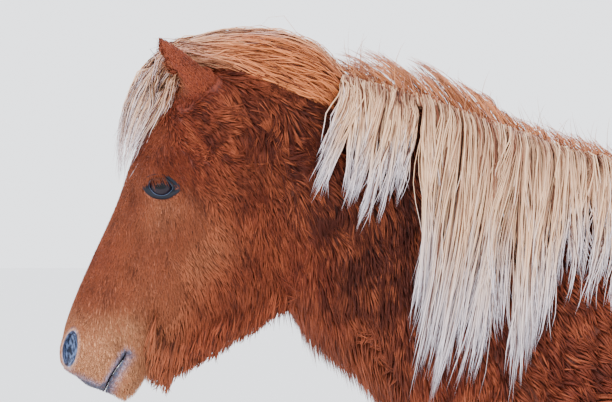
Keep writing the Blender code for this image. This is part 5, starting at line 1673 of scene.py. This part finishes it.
@dataclass
class Eye:
    """One eye: the ball with its clear front, and the dark bare lids round it."""

    skin: Skin
    side: Side
    corner_fall: float = 0.0025
    # share of the opening, lift off the ball in metres, for the rings inside the lid's fold
    margin: tuple = (
        (0.68, -0.0060), (0.93, -0.0025), (0.97, 0.0006), (1.00, 0.0018), (1.06, 0.0030), (1.14, 0.0038),
    )
    # share of the way from the margin to the face, and how far the lid swells off it
    swell: tuple = ((0.28, 0.0026), (0.48, 0.0018), (0.68, 0.0022), (0.86, 0.0012), (1.0, 0.0003))
    back_reach: float = 1.12
    lashes: int = 46

    def ball(self, place: Matrix) -> bpy.types.Object:
        """The eyeball, with the measures across its front kept for the finish."""
        radius = self.skin.face.eye_radius
        bm = bmesh.new()
        bmesh.ops.create_uvsphere(bm, u_segments=64, v_segments=40, radius=radius)
        bm.transform(Matrix.Rotation(math.pi / 2, 4, "X"))
        for vertex in bm.verts:
            from_axis = math.hypot(vertex.co.x, vertex.co.z) / (0.62 * radius)
            if vertex.co.y * self.side.value > 0 and from_axis < 1:
                vertex.co.y += self.side.value * 0.0016 * (1 - from_axis**2) ** 2
        mesh = bpy.data.meshes.new(f"{self.side.word}_eyeball")
        across = [vertex.co.x / radius for vertex in bm.verts]
        up = [vertex.co.z / radius for vertex in bm.verts]
        bm.transform(place)
        bm.to_mesh(mesh)
        bm.free()
        mesh.shade_smooth()
        give_values(mesh, {"across": np.array(across), "up": np.array(up)})
        return new_object(mesh.name, mesh)

    def opening(self, angle: float, grow: float) -> tuple[float, float]:
        """A point of the lids' opening, across and up the eye."""
        a, b = self.skin.face.opening
        c, s = math.cos(angle), math.sin(angle)
        x = a * grow * math.copysign(abs(c) ** 0.85, c)
        z = b * grow * s * self.pinch(c) - self.corner_fall * c
        return x, z + (0.0012 if s > 0 else 0.0)

    def pinch(self, c: float) -> float:
        """How much the lids draw in towards the corners, which is most at the back one."""
        return 1.0 - (0.55 * c * c if c > 0 else 0.22 * abs(c) ** 3)

    def lids(self, place: Matrix, sides: int = 64) -> bpy.types.Object:
        """Both lids as one ring of skin from behind the opening out to the face."""
        radius, sign = self.skin.face.eye_radius, self.side.value
        wide, high = self.skin.face.lid_reach
        rings = []
        for grow, lift in self.margin:
            ring = []
            for k in range(sides):
                x, z = self.opening(2 * math.pi * k / sides, grow)
                far = math.sqrt(max((radius + lift) ** 2 - x * x - z * z, 0.0))
                ring.append(place @ Vector((x, sign * far, z)))
            rings.append(ring)
        inner = rings[-1]
        outer = []
        for k in range(sides):
            angle = 2 * math.pi * k / sides
            c, s = math.cos(angle), math.sin(angle)
            x = wide * math.copysign(abs(c) ** 0.9, c) * (self.back_reach if c > 0 else 1.0)
            z = high * s * self.pinch(c) - self.corner_fall * c
            start = place @ Vector((x, sign * 0.2, z))
            hit, normal, _, _ = self.skin.tree.ray_cast(start, Vector((0, -sign, 0)))
            outer.append((hit, normal))
        for t, lift in self.swell:
            rings.append([a.lerp(h + n * 0.0004, t) + n * lift for a, (h, n) in zip(inner, outer)])
        rings.append([h + (h - place.translation).normalized() * 0.002 - n * 0.004 for h, n in outer])
        return self.open_loft(f"{self.side.word}_lids", rings)

    def open_loft(self, name: str, rings: list) -> bpy.types.Object:
        """A ring of skin with a hidden back, so that it is closed."""
        points = np.array([list(ring) for ring in rings])
        count, sides = points.shape[:2]
        flat = points.reshape(-1, 3)
        faces = []
        for i in range(count):
            j = (i + 1) % count
            for k in range(sides):
                n = (k + 1) % sides
                a, b, c, d = i * sides + k, i * sides + n, j * sides + n, j * sides + k
                faces += [(a, b, c), (a, c, d)] if self.side is Side.LEFT else [(a, c, b), (a, d, c)]
        mesh = mesh_from(name, flat, np.array(faces))
        fold = np.repeat(np.linspace(0, 1, count), sides)
        give_values(mesh, {"fold": fold})
        return new_object(name, mesh)

    def lash_hair(self, place: Matrix, rng: np.random.Generator) -> Hair:
        """The lashes of the upper lid."""
        radius, sign = self.skin.face.eye_radius, self.side.value
        paths = []
        for k in range(self.lashes):
            angle = math.radians(28 + 124 * k / (self.lashes - 1) + rng.uniform(-2, 2))
            x, z = self.opening(angle, 1.03)
            y = math.sqrt((radius + 0.002) ** 2 - x * x - z * z)
            length = 0.015 * (0.7 + 0.5 * math.sin(angle)) * rng.uniform(0.8, 1.1)
            lean = 0.35 * math.cos(angle) + rng.normal(0, 0.08)
            line = []
            for t in (0.0, 0.33, 0.66, 1.0):
                line.append(place @ Vector((
                    x + lean * length * t,
                    sign * (y + length * t * 0.85),
                    z + length * (0.10 * t - 0.55 * t * t),
                )))
            paths.append(line)
        outs = np.tile([0.0, 0.0, 1.0], (self.lashes, 1))
        values = {"tone": np.zeros(self.lashes), "dark": np.ones(self.lashes)}
        return Hair(np.array(paths), outs, np.full(self.lashes, 0.0007), (1, 0.8, 0.5), 0.8, values)

    def build(self, gloss: bpy.types.Material, lid: bpy.types.Material, lash: bpy.types.Material,
              rng: np.random.Generator) -> None:
        """Makes the eye's pieces.

        Args:
            gloss: the ball's finish.
            lid: the lids' finish.
            lash: the lashes' finish.
            rng: the source of random draws.
        """
        place = self.skin.face.eyes[self.side]
        ball_obj = self.ball(place)
        ball_obj.data.materials.append(gloss)
        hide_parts(f"{self.side.word}_eye")
        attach(ball_obj, "root")
        lids = self.lids(place)
        lids.data.materials.append(lid)
        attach(lids, "root")
        self.lash_hair(place, rng).pieces(f"{self.side.word}_lashes", lash, "coat", lids)
        LOG.info("%s eye: ball, lids and lashes", self.side.word)


@dataclass
class Hoof:
    """One hoof: a ringed wall of horn that widens to a flat sole."""

    body: Body
    limb: Limb
    side: Side
    # front and back of the coronet as x and z, then toe, heel and half the width on the ground
    tops: dict = field(default_factory=lambda: {
        Limb.FORE: ((-0.198, 0.088), (-0.108, 0.052)),
        Limb.HIND: ((0.864, 0.090), (0.955, 0.055)),
    })
    soles: dict = field(default_factory=lambda: {
        Limb.FORE: (-0.234, -0.104, 0.061),
        Limb.HIND: (0.832, 0.958, 0.058),
    })
    sides: int = 72
    levels: int = 40
    ring_spacing: float = 0.0075
    ring_height: float = 0.0005
    sink: float = 0.006

    def build(self, horn: bpy.types.Material) -> None:
        """Makes the hoof over its solid.

        Args:
            horn: its finish.
        """
        (fx, fz), (bx, bz) = self.tops[self.limb]
        fx += self.body.step(self.limb, self.side, fz)
        bx += self.body.step(self.limb, self.side, bz)
        toe, heel, half = self.soles[self.limb]
        shift = self.body.step(self.limb, self.side, 0.0)
        middle = self.side.value * self.limb.value
        rings = []
        for level in range(-3, self.levels + 1):
            t = level / self.levels
            flare = max(t, 0.0)
            ring = []
            for k in range(self.sides):
                angle = 2 * math.pi * k / self.sides
                c, s = math.cos(angle), math.sin(angle)
                top_x = (fx + bx) / 2 - c * (bx - fx) / 2 * 0.97
                top_z = (fz + bz) / 2 + c * (fz - bz) / 2 * 0.97
                low_x = (toe + heel) / 2 + shift - c * (heel - toe) / 2
                pinch = 1.0 - 0.12 * max(0.0, -c)
                ripples = self.ring_height * math.sin(2 * math.pi * top_z * (1 - t) / self.ring_spacing)
                swell = 1.0 + (ripples + 0.0012 * math.exp(-((t - 0.04) / 0.04) ** 2)) / half
                edge = 1.0 - 0.05 * max(0.0, (t - 0.96) / 0.04)
                under = 0.93 if level < 0 else 1.0
                x = top_x + (low_x - top_x) * flare
                cx = (fx + bx) / 2 + ((toe + heel) / 2 + shift - (fx + bx) / 2) * flare
                x = cx + (x - cx) * swell * edge * under
                y = s * (0.046 + (half - 0.046) * flare) * pinch * swell * edge * under
                z = top_z * (1 - max(t, 0.0)) + (self.sink * -t * self.levels / 3 if level < 0 else 0.0)
                ring.append(in_frame(x, middle + y, max(z, 0.0)))
            rings.append(ring)
        name = f"{self.side.word}_{self.limb.word}_hoof_wall"
        obj = lofted(name, rings)
        obj.data.shade_smooth()
        obj.data.set_sharp_from_angle(angle=math.radians(50))
        obj.data.materials.append(horn)
        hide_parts(f"{self.side.word}_{self.limb.word}_hoof")
        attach(obj, "root")
        LOG.info("%s: %d faces", name, len(obj.data.polygons))


def linear(hex_colour: str) -> tuple:
    """An sRGB hex colour as linear red, green, blue and alpha."""
    parts = [int(hex_colour[i:i + 2], 16) / 255 for i in (0, 2, 4)]
    return (*[c / 12.92 if c <= 0.04045 else ((c + 0.055) / 1.055) ** 2.4 for c in parts], 1.0)


def add_node(tree: bpy.types.NodeTree, kind: str, settings: dict,
             links: dict | None = None) -> bpy.types.Node:
    """Adds a node.

    Args:
        tree: the material's nodes.
        kind: the node's type, without its prefix.
        settings: values of the node's own settings, or of its inputs by name or number.
        links: the outputs that feed its inputs, by name or number.

    Returns:
        The new node.
    """
    made = tree.nodes.new("ShaderNode" + kind)
    for key, value in settings.items():
        if isinstance(key, str) and hasattr(made, key):
            setattr(made, key, value)
        else:
            made.inputs[key].default_value = value
    for key, output in (links or {}).items():
        tree.links.new(output, made.inputs[key])
    return made


@dataclass(frozen=True)
class Finish:
    """What all finishes share: a name, a roughness and an index of refraction."""

    name: str
    roughness: float
    ior: float

    def start(self) -> tuple[bpy.types.Material, bpy.types.NodeTree, bpy.types.Node]:
        """A new material, its nodes and its shader with the constant values set."""
        made = bpy.data.materials.new(self.name)
        made.use_nodes = True
        tree = made.node_tree
        shader = tree.nodes["Principled BSDF"]
        shader.inputs["Roughness"].default_value = self.roughness
        shader.inputs["IOR"].default_value = self.ior
        shader.inputs["Metallic"].default_value = 0.0
        return made, tree, shader

    def value(self, tree: bpy.types.NodeTree, name: str) -> bpy.types.NodeSocket:
        """The number that a piece keeps at each of its points under a name."""
        return add_node(tree, "Attribute", {"attribute_name": name}).outputs["Fac"]

    def mixed(self, tree: bpy.types.NodeTree, share: object, a: object, b: object,
              how: str = "MIX") -> bpy.types.NodeSocket:
        """Two colours mixed by a share, which is a number or an output. Each colour is hex or an output."""
        settings = {"data_type": "RGBA", "blend_type": how, "clamp_factor": True}
        links = {}
        for socket, value in ((0, share), (6, a), (7, b)):
            if isinstance(value, str):
                settings[socket] = linear(value)
            elif isinstance(value, float):
                settings[socket] = value
            else:
                links[socket] = value
        return add_node(tree, "Mix", settings, links).outputs[2]

    def scaled(self, tree: bpy.types.NodeTree, value: bpy.types.NodeSocket, low: float, high: float,
               from_low: float = 0.0, from_high: float = 1.0) -> bpy.types.NodeSocket:
        """A value moved from one range to another."""
        settings = {1: from_low, 2: from_high, 3: low, 4: high, "clamp": True}
        return add_node(tree, "MapRange", settings, {0: value}).outputs[0]

    def noise(self, tree: bpy.types.NodeTree, grain_mm: float, stretch: tuple = (1, 1, 1),
              detail: float = 2.0) -> bpy.types.NodeSocket:
        """Noise whose grains are some millimetres across, drawn out by the given factors."""
        where = add_node(tree, "TexCoord", {}).outputs["Object"]
        scale = tuple(1000.0 / grain_mm / s for s in stretch)
        moved = add_node(tree, "Mapping", {"Scale": scale}, {"Vector": where}).outputs[0]
        return add_node(tree, "TexNoise", {"Scale": 1.0, "Detail": detail}, {"Vector": moved}).outputs[0]


@dataclass(frozen=True)
class CoatHair(Finish):
    """Chestnut winter hair: a dull satin, darkened towards its roots by painted shade and rusty at its tips.
    """

    name: str = "chestnut_winter_hair"
    roughness: float = 0.58
    ior: float = 1.55
    chestnut: str = "873820"
    rust: str = "AE5A38"
    # deep: the darkest coat, for darker tufts at random and for the painted shade of the dark value
    deep: str = "3E160D"
    tan: str = "D49468"
    grey: str = "7C8AB0"
    # line: painted shade along the mouth line
    line: str = "2C3142"
    shadow: str = "6A4A40"

    def colour(self, tree: bpy.types.NodeTree) -> bpy.types.NodeSocket:
        """The coat's markings, which skin and hair share, with painted shade from the dark value and along
        the mouth line.
        """
        patches = self.scaled(tree, self.noise(tree, 70.0), 0.0, 1.0, 0.38, 0.64)
        base = self.mixed(tree, self.scaled(tree, patches, 0.0, 0.42), self.chestnut, self.rust)
        # Painted shade: the dark value darkens the coat towards deep, most under the mane, at the poll and at
        # the throat.
        base = self.mixed(tree, self.value(tree, "dark"), base, self.deep)
        base = self.mixed(tree, self.value(tree, "pale"), base, self.tan)
        bare = self.value(tree, "bare")
        mottle = self.scaled(tree, self.noise(tree, 5.0, (1, 1, 1), 3.0), 0.50, 1.0, 0.35, 0.62)
        grey = add_node(tree, "Math", {"operation": "MULTIPLY"}, {0: bare, 1: mottle}).outputs[0]
        base = self.mixed(tree, grey, base, self.grey)
        # Painted shade: where bare is highest, along the mouth line and at the front of the lips, the colour
        # darkens to line.
        return self.mixed(tree, self.scaled(tree, bare, 0.0, 0.85, 0.72, 1.0), base, self.line)

    def build(self) -> bpy.types.Material:
        """The finish as a material."""
        made, tree, shader = self.start()
        base = self.colour(tree)
        tone = self.value(tree, "tone")
        lighter = self.mixed(tree, self.scaled(tree, tone, 0.0, 0.62, 0.0, 1.4), base, self.rust)
        darker = self.mixed(tree, self.scaled(tree, tone, 0.80, 0.0, -1.4, 0.0), lighter, self.deep)
        # Painted shade: each tuft darkens towards its root, multiplied by the shadow colour.
        reach = self.scaled(tree, self.value(tree, "along"), 0.75, 0.0, 0.0, 0.75)
        rooted = self.mixed(tree, reach, darker, self.shadow, "MULTIPLY")
        tree.links.new(rooted, shader.inputs["Base Color"])
        shader.inputs["Specular IOR Level"].default_value = 0.16
        return made


@dataclass(frozen=True)
class HorseSkin(CoatHair):
    """Skin under the coat, seen between the tufts and bare on lips and nostrils: soft, fine-grained and
    darkened all over by streaks of painted shade.
    """

    name: str = "haired_horse_skin"
    roughness: float = 0.62
    ior: float = 1.45
    nostril: str = "1A2236"
    mist: str = "8095C0"
    rim: str = "A08A80"

    def build(self) -> bpy.types.Material:
        """The finish as a material."""
        made, tree, shader = self.start()
        base = self.colour(tree)
        # Painted shade: streaks of the shadow colour darken all the skin, as the hair over it would.
        streaks = self.scaled(tree, self.noise(tree, 2.2, (1, 1, 5), 3.0), 0.25, 0.95, 0.35, 0.65)
        shade_streaks = self.mixed(tree, streaks, self.shadow, "FFFFFF")
        shade_streaked_skin = self.mixed(tree, 1.0, base, shade_streaks, "MULTIPLY")
        rim = add_node(tree, "Math", {"operation": "MULTIPLY", 1: 0.4}, {0: self.value(tree, "rim")})
        with_rim = self.mixed(tree, rim.outputs[0], shade_streaked_skin, self.rim)
        frost = self.scaled(tree, self.noise(tree, 3.5, (1, 1, 3), 4.0), 0.0, 0.8, 0.44, 0.64)
        inside = self.mixed(tree, frost, self.nostril, self.mist)
        full = self.mixed(tree, self.value(tree, "deep"), with_rim, inside)
        tree.links.new(full, shader.inputs["Base Color"])
        pores = self.noise(tree, 1.6, (1, 1, 2), 3.0)
        bump = add_node(tree, "Bump", {"Strength": 0.5, "Distance": 0.0012}, {"Height": pores})
        tree.links.new(bump.outputs[0], shader.inputs["Normal"])
        shader.inputs["Specular IOR Level"].default_value = 0.35
        return made


@dataclass(frozen=True)
class FlaxenHair(Finish):
    """Flaxen long hair: reddish at the root, cream down its length and a cool white at the tip."""

    name: str = "flaxen_long_hair"
    roughness: float = 0.50
    ior: float = 1.55
    root: str = "7E3E26"
    gold: str = "C87038"
    cream: str = "EAC09A"
    tip: str = "F0EAF4"
    brown: str = "4A2214"

    def build(self) -> bpy.types.Material:
        """The finish as a material."""
        made, tree, shader = self.start()
        along = self.value(tree, "along")
        tone = self.value(tree, "tone")
        red = self.value(tree, "red")
        pale = self.mixed(tree, self.scaled(tree, along, 0.0, 1.0, 0.55, 0.95), self.cream, self.tip)
        golden = self.mixed(tree, self.scaled(tree, red, 0.0, 0.95), pale, self.gold)
        clump = add_node(tree, "Math", {"operation": "MULTIPLY_ADD", 1: -0.22}, {
            0: self.value(tree, "clump"), 2: along,
        }).outputs[0]
        own = add_node(tree, "Math", {"operation": "MULTIPLY_ADD", 1: 0.30}, {0: tone, 2: clump}).outputs[0]
        rooted = self.mixed(tree, self.scaled(tree, own, 0.95, 0.0, -0.05, 0.58), golden, self.root)
        buried = self.scaled(tree, self.value(tree, "layer"), 0.85, 0.0, 0.15, 0.50)
        fading = self.scaled(tree, along, 1.0, 0.15, 0.30, 0.90)
        buried = add_node(tree, "Math", {"operation": "MULTIPLY"}, {0: buried, 1: fading}).outputs[0]
        warm = self.mixed(tree, buried, rooted, self.root)
        darker = self.mixed(tree, self.scaled(tree, tone, 0.90, 0.0, -1.3, -0.5), warm, self.brown)
        tree.links.new(darker, shader.inputs["Base Color"])
        shader.inputs["Specular IOR Level"].default_value = 0.20
        return made


@dataclass(frozen=True)
class EyeGloss(Finish):
    """A wet eye: dark brown with a long dark pupil under a clear, sharply glossy front."""

    name: str = "wet_eye"
    roughness: float = 0.06
    ior: float = 1.38
    iris: str = "15131C"
    ray: str = "30242A"
    pupil: str = "05060B"
    white: str = "14121A"

    def build(self) -> bpy.types.Material:
        """The finish as a material."""
        made, tree, shader = self.start()
        across, up = self.value(tree, "across"), self.value(tree, "up")
        place = add_node(tree, "CombineXYZ", {}, {0: across, 1: up}).outputs[0]
        round_far = add_node(tree, "VectorMath", {"operation": "LENGTH"}, {0: place}).outputs["Value"]
        slot_far = add_node(tree, "Mapping", {"Scale": (1.0, 2.0, 1.0)}, {"Vector": place}).outputs[0]
        slot_far = add_node(tree, "VectorMath", {"operation": "LENGTH"}, {0: slot_far}).outputs["Value"]
        rays = self.noise(tree, 1.4, (1, 1, 1), 3.0)
        iris = self.mixed(tree, self.scaled(tree, rays, 0.0, 0.7), self.iris, self.ray)
        edge = self.mixed(tree, self.scaled(tree, round_far, 0.0, 1.0, 0.70, 0.80), iris, self.white)
        full = self.mixed(tree, self.scaled(tree, slot_far, 1.0, 0.0, 0.36, 0.46), edge, self.pupil)
        tree.links.new(full, shader.inputs["Base Color"])
        shader.inputs["Specular IOR Level"].default_value = 0.10
        shader.inputs["Coat Weight"].default_value = 0.20
        shader.inputs["Coat Roughness"].default_value = 0.02
        return made


@dataclass(frozen=True)
class LidSkin(Finish):
    """Bare lid skin: blue-black and finely creased, with a painted pale-blue highlight along the margin."""

    name: str = "bare_lid_skin"
    roughness: float = 0.50
    ior: float = 1.45
    dark: str = "10141F"
    # edge: the painted pale-blue highlight along the lid margin
    edge: str = "7C90B4"
    outer: str = "4A2216"

    def build(self) -> bpy.types.Material:
        """The finish as a material."""
        made, tree, shader = self.start()
        fold = self.value(tree, "fold")
        # Painted highlight: a pale-blue band along the margin stands in for the sky's reflection on the wet
        # edge.
        margin_highlight = self.mixed(tree, self.scaled(tree, fold, 0.8, 0.0, 0.20, 0.31), self.dark, self.edge)
        inner = self.mixed(tree, self.scaled(tree, fold, 1.0, 0.0, 0.04, 0.13), margin_highlight, self.dark)
        full = self.mixed(tree, self.scaled(tree, fold, 0.0, 1.0, 0.80, 0.92), inner, self.outer)
        tree.links.new(full, shader.inputs["Base Color"])
        creases = self.noise(tree, 1.2, (2, 1, 0.6), 3.0)
        bump = add_node(tree, "Bump", {"Strength": 0.6, "Distance": 0.0008}, {"Height": creases})
        tree.links.new(bump.outputs[0], shader.inputs["Normal"])
        shader.inputs["Specular IOR Level"].default_value = 0.25
        return made


@dataclass(frozen=True)
class HoofHorn(Finish):
    """Grey-brown hoof horn: a waxy gloss, streaked downwards and ringed as it grew."""

    name: str = "hoof_horn"
    roughness: float = 0.42
    ior: float = 1.54
    horn: str = "4E443B"
    light: str = "80705E"

    def build(self) -> bpy.types.Material:
        """The finish as a material."""
        made, tree, shader = self.start()
        streaks = self.scaled(tree, self.noise(tree, 3.0, (1, 1, 14), 3.0), 0.0, 1.0, 0.35, 0.70)
        rings = self.scaled(tree, self.noise(tree, 7.0, (20, 20, 1), 2.0), 0.0, 0.7, 0.35, 0.70)
        base = self.mixed(tree, streaks, self.horn, self.light)
        ringed = self.mixed(tree, rings, base, self.horn)
        tree.links.new(ringed, shader.inputs["Base Color"])
        scratches = self.noise(tree, 1.2, (1, 1, 12), 3.0)
        bump = add_node(tree, "Bump", {"Strength": 0.35, "Distance": 0.0006}, {"Height": scratches})
        tree.links.new(bump.outputs[0], shader.inputs["Normal"])
        return made


@dataclass(frozen=True)
class LashHair(Finish):
    """Black lashes with a soft shine."""

    name: str = "black_lash_hair"
    roughness: float = 0.40
    ior: float = 1.55

    def build(self) -> bpy.types.Material:
        """The finish as a material."""
        made, tree, shader = self.start()
        grey = self.mixed(tree, self.value(tree, "along"), "17171C", "3A3433")
        tree.links.new(grey, shader.inputs["Base Color"])
        return made


@dataclass(frozen=True)
class StudioFloor(Finish):
    """Pale matt paper."""

    name: str = "pale_paper"
    roughness: float = 0.95
    ior: float = 1.45

    def build(self) -> bpy.types.Material:
        """The finish as a material."""
        made, tree, shader = self.start()
        fibres = self.scaled(tree, self.noise(tree, 60.0), 0.0, 1.0)
        tree.links.new(self.mixed(tree, fibres, "F1F1F2", "F4F4F5"), shader.inputs["Base Color"])
        shader.inputs["Specular IOR Level"].default_value = 0.1
        return made


@dataclass
class Studio:
    """A pale floor, soft light from above and in front, and the photograph's framing."""

    picture_width: float = 0.9486
    centre: tuple = (-0.6957, 1.3506)
    distance: float = 5.0
    sensor: float = 36.0
    floor_half: float = 60.0
    sky_strength: float = 2.7

    def floor(self) -> None:
        """The floor that the horse stands on."""
        half = self.floor_half
        bm = bmesh.new()
        corners = ((-half, -half), (half, -half), (half, half), (-half, half))
        bm.faces.new([bm.verts.new((x, y, 0.0)) for x, y in corners])
        mesh = bpy.data.meshes.new("floor")
        bm.to_mesh(mesh)
        bm.free()
        obj = new_object("floor", mesh)
        mesh.materials.append(StudioFloor().build())

    def sky(self) -> None:
        """Even light from all round, a little cool."""
        world = bpy.data.worlds.new("sky")
        bpy.context.scene.world = world
        world.use_nodes = True
        background = world.node_tree.nodes["Background"]
        background.inputs["Color"].default_value = linear("F3F6FB")
        background.inputs["Strength"].default_value = self.sky_strength

    def lamp(self, name: str, place: tuple, aim: tuple, size: float, power: float, colour: str) -> None:
        """A soft square light at a place, aimed at another."""
        data = bpy.data.lights.new(name, "AREA")
        data.size = size
        data.energy = power
        data.color = linear(colour)[:3]
        obj = bpy.data.objects.new(name, data)
        bpy.context.scene.collection.objects.link(obj)
        obj.location = place
        obj.rotation_mode = "QUATERNION"
        obj.rotation_quaternion = (Vector(aim) - Vector(place)).to_track_quat("-Z", "Y")

    def camera(self) -> None:
        """The camera, level and square to the horse's left side."""
        data = bpy.data.cameras.new("camera")
        data.sensor_width = self.sensor
        data.lens = self.sensor * self.distance / self.picture_width
        data.clip_end = 200.0
        obj = bpy.data.objects.new("camera", data)
        bpy.context.scene.collection.objects.link(obj)
        obj.location = (self.centre[0], -self.distance, self.centre[1])
        obj.rotation_euler = (math.pi / 2, 0.0, 0.0)
        bpy.context.scene.camera = obj

    def build(self) -> None:
        """Sets the floor, the lights and the camera."""
        self.floor()
        self.sky()
        self.lamp("key", (-2.6, -3.2, 4.2), (-0.4, 0.0, 1.2), 2.4, 120.0, "FFF6EC")
        self.lamp("fill", (3.0, -3.0, 2.6), (0.2, 0.0, 0.9), 3.0, 20.0, "F2F6FF")
        self.lamp("rim", (0.5, 3.6, 3.8), (-0.2, 0.0, 1.2), 2.6, 70.0, "FFFFFF")
        self.camera()


def main() -> None:
    """Builds the horse from its skin outwards, then the studio."""
    logging.basicConfig(level=logging.INFO, format="%(message)s")
    rng = np.random.default_rng(SEED)
    hair, long_hair = CoatHair().build(), FlaxenHair().build()
    lid, gloss, horn, lash = LidSkin().build(), EyeGloss().build(), HoofHorn().build(), LashHair().build()
    body = Body()
    skin = Skin(body, CoatMap(), FacePlaces(), {side: Ear(side) for side in Side})
    home = skin.build()
    home.data.materials.append(HorseSkin().build())
    flesh = [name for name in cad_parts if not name.endswith(("_eye", "_hoof"))]
    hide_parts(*flesh)
    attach(home, "root")
    WinterCoat(skin, rng).grow(hair, home)
    Mane(Neckline(skin)).grow(long_hair, home, rng)
    Forelock(skin).grow(long_hair, home, rng)
    Tail().grow(long_hair, home, rng)
    Beard(skin).grow(hair, home, rng)
    for side in Side:
        Eye(skin, side).build(gloss, lid, lash, rng)
        for limb in Limb:
            Feather(body, skin, limb, side).grow(hair, home, rng)
            Hoof(body, limb, side).build(horn)
    Studio().build()


if __name__ == "__main__":
    main()
